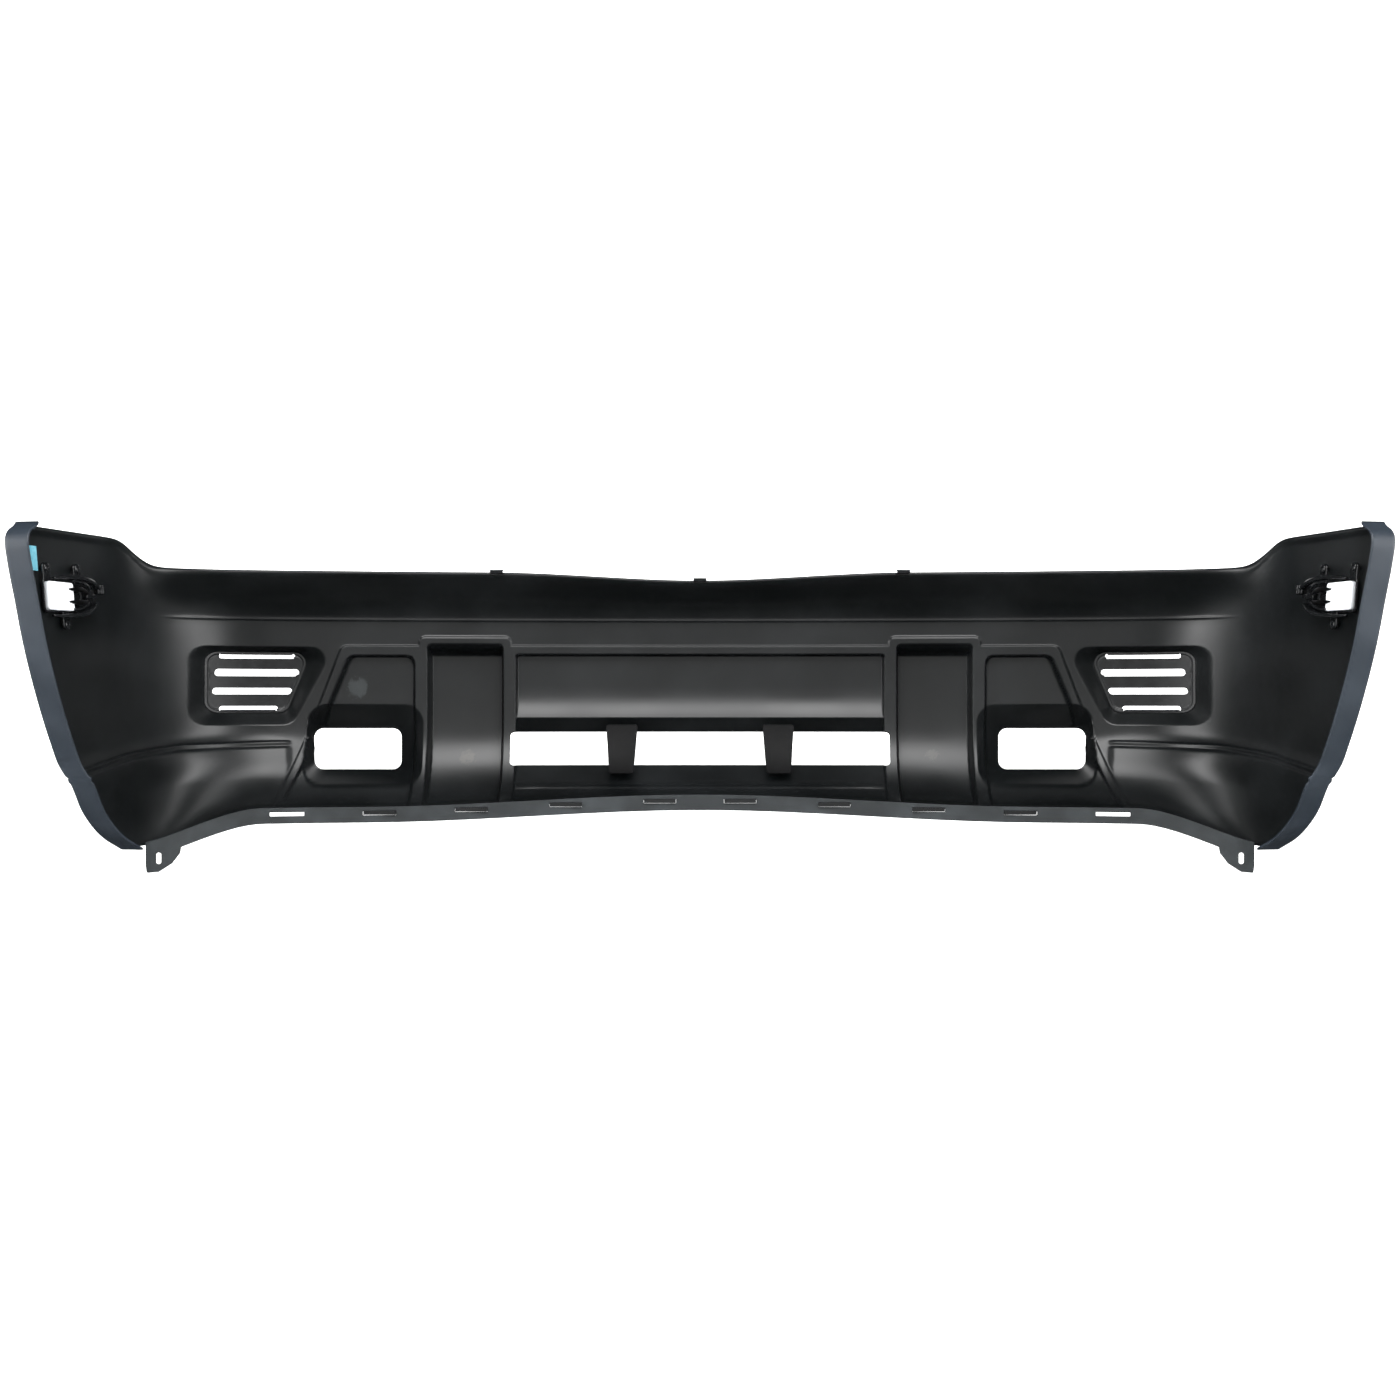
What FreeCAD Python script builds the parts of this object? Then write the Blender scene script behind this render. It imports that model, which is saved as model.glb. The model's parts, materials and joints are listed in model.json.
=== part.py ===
import FreeCAD, Part
import math
import os
import Sketcher
from FreeCAD import Placement, Rotation, Vector

os.makedirs("parts", exist_ok=True)
doc = FreeCAD.newDocument("BumperCover")

# Frame: +X to the right as seen from behind the cover, +Y to the front of the car, +Z up.
# The origin is midway across, midway front to back, on the level of the lowest tab ends.
sheet = doc.addObject("Spreadsheet::Sheet", "dims")
SIZES = [
    ("front_radius", 3150.0),     # plan radius of the face
    ("front_half", 637.0),        # half width of the face arc
    ("corner_radius", 300.0),     # plan radius of each corner
    ("wing_angle", 77.5),         # plan angle of the wings, degrees
    ("wing_run", 282.0),          # straight length of each wing at its top
    ("wing_top", 492.0),          # height of the wing tops
    ("crown", 276.17),             # front-most inner point of the face
    ("wall", 3.0),                # moulded wall
    ("top_centre", 441.0),        # top edge at the middle
    ("top_rise", 12.0),           # how much higher the top edge is beside the middle
    ("shelf_depth", 60.0),        # how far the top shelf slopes back
    ("shelf_foot", 381.0),        # height where the shelf starts
    ("lower_edge", 104.0),        # lower edge at the middle
    ("lower_bow", 17.0),          # how much lower it is at the ends of the face
    ("lower_drop", 46.0),         # how much lower still the wings reach
    ("roll_depth", 105.0),        # how far the lower edge rolls back
    ("feature_line", 190.0),      # height of the crease above the valance
    ("feature_step", 6.0),
    ("arch_flange", 33.0),        # wheel-arch return flange width
    ("channel_x", 371.0),         # middle of each vertical channel
    ("channel_width", 144.0),
    ("channel_top", 354.0),
    ("channel_depth", 34.0),
    ("draft_step", 13.0),         # slope of channel sides
    ("panel_half", 292.0),        # half width of the middle panel
    ("panel_top", 326.0),
    ("panel_foot", 222.0),
    ("panel_depth", 13.0),
    ("band_width", 12.0),         # raised band round the middle section
    ("band_height", 2.0),
    ("intake_half", 300.0),
    ("intake_top", 203.0),
    ("intake_foot", 151.0),
    ("strut_x", 124.0),
    ("strut_top_width", 50.0),
    ("strut_foot_width", 38.0),
    ("strut_depth", 14.0),
    ("strut_lap", 12.0),          # how far a strut laps onto the skin
    ("fog_x", 543.5),
    ("fog_z", 176.5),
    ("fog_width", 138.0),
    ("fog_height", 65.0),
    ("fog_reach", 49.0),          # how far the lamp hole stands in front of the face
    ("fog_flare_up", 1.15),       # how steeply each bucket wall opens towards the rear
    ("fog_flare_down", 0.32),
    ("fog_flare_inboard", 0.85),
    ("fog_flare_outboard", 0.12),
    ("vent_x", 684.0),
    ("vent_z", 279.0),
    ("vent_width", 168.0),
    ("vent_height", 114.0),
    ("vent_collar", 16.0),        # how far the vent recess goes forward
    ("vent_slot_height", 9.0),
    ("vent_slot_pitch", 27.0),
    ("fit_gap", 0.4),             # clearance round an insert
    ("strip_height", 24.0),
    ("strip_thick", 3.0),
    ("slot_width", 50.0),
    ("slot_height", 7.0),
    ("slot_gap", 0.5),            # clearance round a tongue
    ("tab_x", 792.0),
    ("tab_width", 42.0),
    ("tab_slot_width", 6.4),
    ("tab_slot_height", 17.0),
    ("bracket_s", 1110.0),        # distance along the cover to the bracket
    ("bracket_z", 397.0),
    ("bracket_length", 150.0),
    ("bracket_height", 50.0),
    ("bracket_thick", 3.0),
    ("guide_length", 72.0),
    ("guide_height", 38.0),
    ("guide_thick", 9.0),
    ("rivet_head", 14.0),
    ("rivet_shank", 6.0),
    ("lug_x", 315.0),             # side fixing lugs on the top edge
    ("lug_width", 44.0),
    ("lug_reach", 26.0),
    ("lug_hole", 8.0),
    ("clip_width", 20.0),
    ("clip_sheet", 1.0),
]
for row, (alias, value) in enumerate(SIZES, start=1):
    sheet.set("A%d" % row, alias)
    sheet.set("B%d" % row, str(value))
    sheet.setAlias("B%d" % row, alias)
doc.recompute()


def dim(alias):
    return float(getattr(sheet, alias))


WALL = dim("wall")
WING_ANGLE = math.radians(dim("wing_angle"))
FACE_ANGLE = math.asin(dim("front_half") / dim("front_radius"))
FACE_RUN = dim("front_radius") * FACE_ANGLE
CORNER_RUN = dim("corner_radius") * (WING_ANGLE - FACE_ANGLE)
HALF_RUN = FACE_RUN + CORNER_RUN + dim("wing_run")


def ease(value, low, high):
    """0 below low, 1 above high, smooth between."""
    part = min(1.0, max(0.0, (value - low) / (high - low)))
    return part * part * (3.0 - 2.0 * part)


def between(value, stops):
    """Straight-line interpolation through (value, result) stops."""
    if value <= stops[0][0]:
        return stops[0][1]
    for (low, first), (high, last) in zip(stops, stops[1:]):
        if value <= high:
            return first + (last - first) * (value - low) / (high - low)
    return stops[-1][1]


def plan(run):
    """Plan point and tangent angle at a distance along the cover from its middle."""
    side = -1.0 if run < 0.0 else 1.0
    away = abs(run)
    radius = dim("front_radius")
    corner = dim("corner_radius")
    turn = min(away, FACE_RUN) / radius
    x = radius * math.sin(turn)
    y = dim("crown") - radius * (1.0 - math.cos(turn))
    if away > FACE_RUN:
        turn = FACE_ANGLE + min(away - FACE_RUN, CORNER_RUN) / corner
        x += corner * (math.sin(turn) - math.sin(FACE_ANGLE))
        y -= corner * (math.cos(FACE_ANGLE) - math.cos(turn))
    rest = max(0.0, away - FACE_RUN - CORNER_RUN)
    x += rest * math.cos(turn)
    y -= rest * math.sin(turn)
    return side * x, y, side * turn


# Places along the run of the cover that follow the plan's own lengths.
WING_START = HALF_RUN - dim("wing_run")
STEP_FOOT = WING_START - 104.0
STEP_HEAD = WING_START - 20.0
VALANCE_START = FACE_RUN
VALANCE_END = WING_START - 120.0


def top_edge(run):
    away = abs(run)
    hump = dim("top_centre") + dim("top_rise") * ease(away, 0.0, 330.0)
    step = ease(away, STEP_FOOT, STEP_HEAD)
    return hump + (dim("wing_top") - hump) * step


def low_edge(run):
    away = abs(run)
    bow = dim("lower_bow") * ease(away, 0.0, VALANCE_START - 121.0)
    drop = dim("lower_drop") * ease(away, VALANCE_START + 74.0, VALANCE_END + 96.0)
    return dim("lower_edge") - bow - drop


def crease(run):
    return dim("feature_line") - 34.0 * ease(abs(run), VALANCE_START + 120.0, HALF_RUN)


def inset(run, z):
    """How far the inner surface stands inside the plan curve."""
    away = abs(run)
    wing = ease(away, VALANCE_START, WING_START + 20.0)
    low = low_edge(run)
    roll_top = dim("feature_line") + 45.0
    under = min(1.0, max(0.0, (roll_top - z) / (roll_top - low)))
    roll = dim("roll_depth") * (1.0 - 0.67 * ease(away, 700.0, 1050.0))
    roll *= 1.0 - math.sqrt(1.0 - under * under)
    lip = top_edge(run)
    foot = dim("shelf_foot")
    bend = foot + 26.0
    shelf = between(z, [(300.0, 0.0), (foot, 4.0), (bend, 14.0), (lip - 7.0, dim("shelf_depth"))])
    lean = 28.0 * (1.0 - max(0.0, (z - 40.0) / 450.0) ** 1.5)
    step = dim("feature_step") * ease(crease(run) - z, -4.0, 10.0)
    step *= ease(away, VALANCE_START - 40.0, VALANCE_START + 40.0)
    return (1.0 - wing) * (shelf + roll) + wing * (lean + 0.25 * roll) + step


def arch_edge(z):
    """Distance along the cover to the wheel-arch edge at a height."""
    stops = [(40.0, 252.0), (47.0, 238.0), (53.0, 212.0), (61.0, 196.0), (73.0, 175.0), (86.0, 160.0)]
    stops += [(97.0, 150.0), (109.0, 138.0), (121.0, 129.0), (132.0, 121.0), (143.0, 113.0)]
    stops += [(154.0, 108.0), (166.0, 102.0), (199.0, 84.0), (232.0, 67.0), (265.0, 53.0), (297.0, 40.0)]
    stops += [(340.0, 27.0), (390.0, 17.0), (425.0, 8.0)]
    stops += [(dim("wing_top") - 18.0, 0.0), (dim("wing_top"), 31.0)]
    return HALF_RUN - between(z, stops)


LOW_SHARES = (0.0, 0.03, 0.10, 0.22, 0.42, 0.68, 0.9)
MID_SHARES = (0.1, 0.26, 0.5, 0.74, 0.9)
TOP_SHARES = (0.0, 0.2, 0.4, 0.62, 0.84, 0.93, 1.0)


def levels(run):
    """Heights of the net rows, from the lower edge to the top edge."""
    low = low_edge(run)
    line = crease(run)
    foot = dim("shelf_foot")
    rows = [low + (line - 14.0 - low) * share for share in LOW_SHARES]
    rows += [line - 9.0, line + 4.0]
    rows += [line + 4.0 + (foot - line - 4.0) * share for share in MID_SHARES]
    rows += [foot + (top_edge(run) - foot) * share for share in TOP_SHARES]
    return rows


COLUMNS = 84
ARCH_LEVELS = levels(HALF_RUN)


def surface_point(run, z, inward):
    """A point a distance inward of the inner surface."""
    x, y, turn = plan(run)
    depth = inset(run, z) + inward
    return Vector(x - math.sin(turn) * depth, y - math.cos(turn) * depth, z)


def net(inward):
    """Rows of control points of a surface that lies a distance inward of the inner surface."""
    lines = []
    for column in range(-COLUMNS // 2, COLUMNS // 2 + 1):
        share = column / (COLUMNS / 2.0)
        run = share * HALF_RUN
        pull = ease(abs(run), 640.0, HALF_RUN)
        side = -1.0 if run < 0.0 else 1.0
        line = []
        for index, arch_level in enumerate(ARCH_LEVELS):
            back = side * (HALF_RUN - arch_edge(arch_level)) * pull
            here = run - back
            line.append((here, levels(here)[index]))
        lines.append(line)
    points = [[surface_point(here, z, 0.0) for here, z in line] for line in lines]
    moved = []
    for i, line in enumerate(points):
        after = points[min(i + 1, len(points) - 1)]
        before = points[max(i - 1, 0)]
        out = []
        for j, point in enumerate(line):
            along = after[j] - before[j]
            up = line[min(j + 1, len(line) - 1)] - line[max(j - 1, 0)]
            normal = along.cross(up)
            normal.normalize()
            out.append(point + normal * inward)
        moved.append(out)
    return moved


def spline_face(poles):
    """A smooth face over a net of control points."""
    def knots(count, degree):
        spans = count - degree
        mults = [degree + 1] + [1] * (spans - 1) + [degree + 1]
        return [float(i) for i in range(spans + 1)], mults

    across = min(3, len(poles) - 1)
    upward = min(3, len(poles[0]) - 1)
    u_knots, u_mults = knots(len(poles), across)
    v_knots, v_mults = knots(len(poles[0]), upward)
    surface = Part.BSplineSurface()
    surface.buildFromPolesMultsKnots(poles, u_mults, v_mults, u_knots, v_knots, False, False, across, upward)
    return surface


def thick(first, second):
    """A closed solid between two nets of the same size."""
    faces = [spline_face(first).toShape(), spline_face(second).toShape()]
    borders = [
        (first[0], second[0]),
        (first[-1], second[-1]),
        ([line[0] for line in first], [line[0] for line in second]),
        ([line[-1] for line in first], [line[-1] for line in second]),
    ]
    for one, other in borders:
        faces.append(spline_face([one, other]).toShape())
    shell = Part.makeShell(faces)
    sewn = shell.copy()
    sewn.sewShape()
    solid = Part.makeSolid(Part.Shell(sewn.Faces))
    if solid.Volume < 0.0:
        solid.reverse()
    return solid


def layer(low, high):
    return thick(net(low), net(high))


def rounded(corners, radius):
    """A closed wire in the XZ plane through (x, z) corners with rounded corners."""
    edges = []
    count = len(corners)
    tangents = []
    for i in range(count):
        here = Vector(corners[i][0], 0.0, corners[i][1])
        before = Vector(corners[i - 1][0], 0.0, corners[i - 1][1])
        after = Vector(corners[(i + 1) % count][0], 0.0, corners[(i + 1) % count][1])
        to_before = (before - here).normalize()
        to_after = (after - here).normalize()
        half = to_before.getAngle(to_after) / 2.0
        reach = radius / math.tan(half)
        middle = (to_before + to_after).normalize()
        centre = here + middle * (radius / math.sin(half))
        tangents.append((here + to_before * reach, centre - middle * radius, here + to_after * reach))
    for i in range(count):
        start, middle, end = tangents[i]
        edges.append(Part.Arc(start, middle, end).toShape())
        edges.append(Part.LineSegment(end, tangents[(i + 1) % count][0]).toShape())
    return Part.Wire(edges)


def at_depth(wire, y):
    placed = wire.copy()
    placed.translate(Vector(0.0, y, 0.0))
    return placed


def box_corners(x, z, width, height):
    return [
        (x - width / 2.0, z - height / 2.0),
        (x + width / 2.0, z - height / 2.0),
        (x + width / 2.0, z + height / 2.0),
        (x - width / 2.0, z + height / 2.0),
    ]


BACK = -400.0
FRONT = 400.0


def prism(corners, radius):
    """A bar along Y over a rounded outline."""
    face = Part.Face(at_depth(rounded(corners, radius), BACK))
    return face.extrude(Vector(0.0, FRONT - BACK, 0.0))


def grown(corners, step):
    """The same convex outline, larger by a step on every side."""
    result = []
    count = len(corners)
    for i in range(count):
        here = Vector(corners[i][0], corners[i][1], 0.0)
        before = (here - Vector(corners[i - 1][0], corners[i - 1][1], 0.0)).normalize()
        after = (Vector(corners[(i + 1) % count][0], corners[(i + 1) % count][1], 0.0) - here).normalize()
        out_a = Vector(before.y, -before.x, 0.0)
        out_b = Vector(after.y, -after.x, 0.0)
        middle = (out_a + out_b).normalize()
        moved = here + middle * (step / middle.dot(out_a))
        result.append((moved.x, moved.y))
    return result


def flipped(shape):
    return shape.mirror(Vector(0.0, 0.0, 0.0), Vector(1.0, 0.0, 0.0))




# ---- the skin ----
def channel_corners(step):
    x = dim("channel_x")
    half = dim("channel_width") / 2.0 - step
    return [
        (x - half, dim("lower_edge") + 1.0),
        (x + half, dim("lower_edge") + 1.0),
        (x + half, dim("channel_top") - step),
        (x - half, dim("channel_top") - step),
    ]


def bulge(body, corners, radius, depth):
    """Push a region of the skin forward by a depth, with square walls round it."""
    shell = layer(-depth - WALL, 0.0).common(prism(grown(corners, WALL), radius + WALL))
    room = layer(-depth, 30.0).common(prism(corners, radius))
    return body.fuse(shell).cut(room)


channel_inner = channel_corners(dim("draft_step"))
panel = box_corners(
    0.0,
    (dim("panel_top") + dim("panel_foot")) / 2.0,
    2.0 * dim("panel_half"),
    dim("panel_top") - dim("panel_foot"),
)
fog_side = dim("channel_x") + dim("channel_width") / 2.0 + 2.0 * WALL
fog_panel = [
    (fog_side, dim("panel_foot") + 22.0),
    (fog_side + 138.0, dim("panel_foot") + 22.0),
    (fog_side + 104.0, dim("panel_top")),
    (fog_side, dim("panel_top")),
]

skin = layer(-WALL, 0.0)
outside = layer(-120.0, -WALL + 0.5)
for side in (1, -1):
    mirror = (lambda shape: shape) if side == 1 else flipped
    shell = layer(-dim("channel_depth") - WALL, 0.0)
    shell = shell.common(mirror(prism(grown(channel_inner, WALL), 8.0 + WALL)))
    room = layer(-dim("channel_depth"), 30.0).common(mirror(prism(channel_inner, 8.0)))
    skin = skin.fuse(shell).cut(room)
    shell = layer(-dim("panel_depth") - WALL, 0.0)
    shell = shell.common(mirror(prism(grown(fog_panel, WALL), 14.0 + WALL)))
    room = layer(-dim("panel_depth"), 30.0).common(mirror(prism(fog_panel, 14.0)))
    skin = skin.fuse(shell).cut(room)
skin = bulge(skin, panel, 6.0, dim("panel_depth"))
# Fog lamp buckets: walls that narrow towards a lamp hole in front of the face.
fog_rear = surface_point(dim("fog_x"), dim("fog_z"), 0.0).y - 60.0
fog_hole = fog_rear + 60.0 + dim("fog_reach")


def fog_corners(back):
    """Corners of the bucket a distance behind the lamp hole."""
    x = dim("fog_x")
    z = dim("fog_z")
    left = x - dim("fog_width") / 2.0 - back * dim("fog_flare_inboard")
    right = x + dim("fog_width") / 2.0 + back * dim("fog_flare_outboard")
    low = z - dim("fog_height") / 2.0 - back * dim("fog_flare_down")
    high = z + dim("fog_height") / 2.0 + back * dim("fog_flare_up")
    return [(left, low), (right, low), (right, high), (left, high)]


def fog_loft(step, forward):
    """The bucket's volume; step grows it and forward runs it past the lamp hole."""
    back = fog_hole - fog_rear
    far = at_depth(rounded(grown(fog_corners(back), step), 40.0 + step), fog_rear)
    near = at_depth(rounded(grown(fog_corners(-forward), step), 12.0 + step), fog_hole + forward)
    return Part.makeLoft([far, near], True, True)


# Vent openings: a recess that ends in a rim, which carries the grille insert.
vent_x = dim("vent_x")
vent_z = dim("vent_z")
vent_half = dim("vent_width") / 2.0
vent_tall = dim("vent_height") / 2.0
vent = [
    (vent_x - vent_half + 26.0, vent_z - vent_tall),
    (vent_x + vent_half, vent_z - vent_tall),
    (vent_x + vent_half, vent_z + vent_tall),
    (vent_x - vent_half, vent_z + vent_tall),
]
VENT_RADIUS = 20.0
RIM = 11.0
collar = dim("vent_collar")
vent_mouth = grown(vent, -RIM)
vent_bar = prism(vent, VENT_RADIUS)
vent_outer = prism(grown(vent, WALL), VENT_RADIUS + WALL)
vent_open = prism(vent_mouth, VENT_RADIUS - 6.0)
vent_shell = layer(-collar - WALL, 0.0).common(vent_outer.cut(vent_bar))
vent_rim = layer(-collar - WALL, -collar).common(vent_bar.cut(vent_open))

intake = box_corners(
    0.0,
    (dim("intake_top") + dim("intake_foot")) / 2.0,
    2.0 * dim("intake_half"),
    dim("intake_top") - dim("intake_foot"),
)

# The raised band that borders the middle section.
band_top = dim("panel_top") + dim("band_width") + 2.0
band_side = dim("channel_x") + dim("channel_width") / 2.0
channel_near = dim("channel_x") - dim("channel_width") / 2.0
fog_near = band_side + 4.0
fog_far = fog_panel[2][0] + 14.0
band_foot = 112.0
lean = 92.0
band_outer = prism([(-fog_far - lean, band_foot), (fog_far + lean, band_foot),
                    (fog_far, band_top), (-fog_far, band_top)], 16.0)
band_room = prism([(fog_near, band_foot - 60.0), (fog_far + lean + 8.0, band_foot - 60.0),
                   (fog_far - dim("band_width"), band_top - dim("band_width")),
                   (fog_near, band_top - dim("band_width"))], 14.0)
middle_room = prism([(-channel_near, band_foot - 60.0), (channel_near, band_foot - 60.0),
                     (channel_near, band_top - dim("band_width")),
                     (-channel_near, band_top - dim("band_width"))], 3.0)
channel_frame = prism(channel_corners(0.0), 10.0)
band_bar = band_outer.cut(middle_room)
for mirror in (Part.Shape.copy, flipped):
    band_bar = band_bar.cut(mirror(band_room)).fuse(mirror(channel_frame))
    band_bar = band_bar.cut(mirror(prism(channel_inner, 8.0)))
skin = skin.fuse(layer(-0.5, dim("band_height")).common(band_bar))

for mirror in (Part.Shape.copy, flipped):
    bucket = mirror(fog_loft(WALL, 0.0)).common(outside)
    skin = skin.fuse(bucket).cut(mirror(fog_loft(0.0, 6.0)))
    skin = skin.cut(layer(-collar, 6.0).common(mirror(vent_bar)))
    skin = skin.fuse(mirror(vent_shell)).fuse(mirror(vent_rim))
intake_bar = prism(intake, 7.0)
skin = skin.cut(intake_bar)

# Wheel-arch return flanges along both rear edges.
for end in (0, -1):
    inner_line = net(dim("arch_flange"))[end]
    outer_line = net(-WALL)[end]
    face_net = net(0.0)
    toward = 1 if end == 0 else -2
    ahead = [(b - a).normalize() * WALL for a, b in zip(face_net[end], face_net[toward])]
    rear = [outer_line, inner_line]
    front = [[p + a for p, a in zip(line, ahead)] for line in rear]
    skin = skin.fuse(thick(rear, front))

# Fixing lugs on the top edge: flat plates with one hole each.
LUG_THICK = WALL
lug_places = []
for x in (-dim("lug_x"), 0.0, dim("lug_x")):
    run = dim("front_radius") * math.asin(x / dim("front_radius"))
    top = top_edge(run)
    edge = surface_point(run, top, 0.0)
    lug_places.append(Vector(x, edge.y - dim("lug_reach") / 2.0, top - 1.5))
for place in lug_places:
    corner = Vector(place.x - dim("lug_width") / 2.0, place.y - dim("lug_reach") / 2.0, place.z)
    plate = Part.makeBox(dim("lug_width"), dim("lug_reach") + 4.0, LUG_THICK, corner)
    hole = Part.makeCylinder(dim("lug_hole") / 2.0, 4.0 * LUG_THICK, place - Vector(0, 0, LUG_THICK))
    skin = skin.fuse(plate).cut(hole)

# Wing frame for the left bracket: x forward, y up the wall, z inward.
left_run = -dim("bracket_s")
base = surface_point(left_run, dim("bracket_z"), 0.0)
upper = surface_point(left_run, dim("bracket_z") + 30.0, 0.0)
lower = surface_point(left_run, dim("bracket_z") - 30.0, 0.0)
ahead = surface_point(left_run + 20.0, dim("bracket_z"), 0.0)
up_axis = (upper - lower).normalize()
run_axis = (ahead - base).normalize()
in_axis = run_axis.cross(up_axis).normalize()
run_axis = up_axis.cross(in_axis).normalize()
frame = FreeCAD.Matrix()
frame.A11, frame.A21, frame.A31 = run_axis
frame.A12, frame.A22, frame.A32 = up_axis
frame.A13, frame.A23, frame.A33 = in_axis
frame.A14, frame.A24, frame.A34 = base
wing_place = Placement(frame)

BOSS = 4.0
half_tall = dim("bracket_height") / 2.0
RIVETS = [
    (-0.44 * dim("bracket_length"), half_tall + 13.0),
    (0.13 * dim("bracket_length"), half_tall + 16.0),
    (-0.13 * dim("bracket_length"), -half_tall - 14.0),
]
for x, y in RIVETS:
    boss = Part.makeCylinder(dim("rivet_head") / 2.0 + 2.0, BOSS + 2.0, Vector(x, y, -2.0))
    pin = Part.makeCylinder(dim("rivet_shank") / 2.0, BOSS + 1.0, Vector(x, y, -1.0))
    boss.Placement = wing_place
    pin.Placement = wing_place
    for mirror in (Part.Shape.copy, flipped):
        skin = skin.fuse(mirror(boss)).cut(mirror(pin))
print("skin", skin.isValid(), len(skin.Solids), round(skin.Volume))

parts = []


def keep(name, obj):
    obj.Label = name
    parts.append(obj)
    return obj


def feature(name, shape):
    """A piece whose curved shape is set directly."""
    obj = doc.addObject("Part::Feature", name)
    obj.Shape = shape
    obj.Placement = Placement(Vector(0.0, 0.0, 0.0), Rotation())
    return keep(name, obj)


def mirrored(name, source):
    obj = doc.addObject("Part::Mirroring", name)
    obj.Source = source
    obj.Normal = Vector(1.0, 0.0, 0.0)
    obj.Base = Vector(0.0, 0.0, 0.0)
    return keep(name, obj)


feature("cover_skin", skin)

# ---- vent grille inserts ----
gap = dim("fit_gap")
plug = layer(-collar - WALL, -collar).common(prism(grown(vent_mouth, -gap), VENT_RADIUS - 6.0 - gap))
lap = layer(-collar, -collar + 2.0).common(prism(grown(vent_mouth, 5.0), VENT_RADIUS - 1.0))
grille = plug.fuse(lap)
SLOT_SHARES = ((1.5, 0.02, 0.66), (0.5, 0.0, 0.76), (-0.5, 0.03, 0.74), (-1.5, 0.08, 0.56))
for level, shift, share in SLOT_SHARES:
    wide = dim("vent_width") * share
    middle = vent_x + vent_half * 0.02 + dim("vent_width") * shift
    tall = dim("vent_slot_height")
    slot = box_corners(middle, vent_z + level * dim("vent_slot_pitch"), wide, tall)
    grille = grille.cut(prism(slot, tall * 0.48))
right_grille = feature("vent_grille_right", grille)
mirrored("vent_grille_left", right_grille)

# ---- intake struts ----
strut_top = dim("intake_top") + dim("strut_lap")
strut_foot = dim("intake_foot") - dim("strut_lap")
strut_outline = [
    (dim("strut_x") - dim("strut_foot_width") / 2.0, strut_foot),
    (dim("strut_x") + dim("strut_foot_width") / 2.0, strut_foot),
    (dim("strut_x") + dim("strut_top_width") / 2.0, strut_top),
    (dim("strut_x") - dim("strut_top_width") / 2.0, strut_top),
]
strut = layer(0.0, dim("strut_depth")).common(prism(strut_outline, 4.0))
right_strut = feature("strut_right", strut)
mirrored("strut_left", right_strut)

# ---- lower strip with its slots and end tabs ----
STRIP_REACH = 0.98
UP_LAP = 4.0


def strip_net(inward, low, high):
    """Two rows of points behind the lower edge of the skin."""
    lines = []
    for column in range(-COLUMNS // 2, COLUMNS // 2 + 1):
        share = column / (COLUMNS / 2.0)
        if abs(share) > STRIP_REACH:
            continue
        run = share * HALF_RUN
        pull = ease(abs(run), 640.0, HALF_RUN)
        side = -1.0 if run < 0.0 else 1.0
        here = run - side * (HALF_RUN - arch_edge(ARCH_LEVELS[0])) * pull
        z = low_edge(here)
        point = surface_point(here, z, inward)
        lines.append([Vector(point.x, point.y, z + low), Vector(point.x, point.y, z + high)])
    return lines


def strip_solid(low, high, skim):
    """The strip's band; skim thins it on both faces."""
    return thick(strip_net(skim, low, high), strip_net(dim("strip_thick") - skim, low, high))


tab_x = dim("tab_x")
tab_half = dim("tab_width") / 2.0
strip_end = tab_x + tab_half
strip_room = Part.makeBox(2.0 * strip_end, FRONT - BACK, 300.0, Vector(-strip_end, BACK, -40.0))
strip = strip_solid(UP_LAP - dim("strip_height"), UP_LAP, 0.0).common(strip_room)
tab = [
    (tab_x - 7.0, 11.0),
    (tab_x + 8.0, 0.0),
    (tab_x + tab_half - 1.0, 0.0),
    (tab_x + tab_half + 4.0, 56.0),
    (tab_x - tab_half, 56.0),
    (tab_x - tab_half + 4.0, 26.0),
]
tab_slot = box_corners(tab_x + 8.0, 20.0, dim("tab_slot_width"), dim("tab_slot_height"))
tab_bar = prism(tab, 2.0)
slot_bar = prism(tab_slot, dim("tab_slot_width") * 0.48)
tall = strip_solid(-90.0, 0.0, 0.08 * dim("strip_thick")).common(strip_room)
for mirror in (Part.Shape.copy, flipped):
    strip = strip.fuse(tall.common(mirror(tab_bar))).cut(mirror(slot_bar))
SLOT_PLACES = (62.0, 207.0, 351.0, 489.0, 625.0)
TONGUED = 4
tongues = []
for index, place in enumerate(SLOT_PLACES):
    for side in (-1.0, 1.0):
        x = side * place
        run = dim("front_radius") * math.asin(x / dim("front_radius"))
        low = low_edge(run)
        edge = surface_point(run, low, 0.0)
        middle = low - WALL - 0.4 - dim("slot_height") / 2.0 + 1.6
        slot = box_corners(x, middle, dim("slot_width"), dim("slot_height"))
        strip = strip.cut(prism(slot, 1.2))
        if index < TONGUED:
            wide = dim("slot_width") - 2.0 * dim("slot_gap")
            high = dim("slot_height") - 2.0 * dim("slot_gap")
            foot = middle - high / 2.0
            corner = Vector(x - wide / 2.0, edge.y - 7.0, foot)
            tongues.append(Part.makeBox(wide, 18.0, high, corner).cut(skin))
feature("lower_strip", strip)
feature("strip_tongues", Part.makeCompound(tongues))

# ---- bracket pieces, drawn in the wing frame ----
def bound(obj, **sizes):
    for name, rule in sizes.items():
        obj.setExpression(name.replace("_", "."), rule)
    return obj


def box(name, length, width, height, x, y, z):
    """A block whose sizes and corner are rules on the sheet."""
    obj = doc.addObject("Part::Box", name)
    bound(obj, Length=length, Width=width, Height=height)
    obj.setExpression(".Placement.Base.x", x)
    obj.setExpression(".Placement.Base.y", y)
    obj.setExpression(".Placement.Base.z", z)
    return obj


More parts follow.
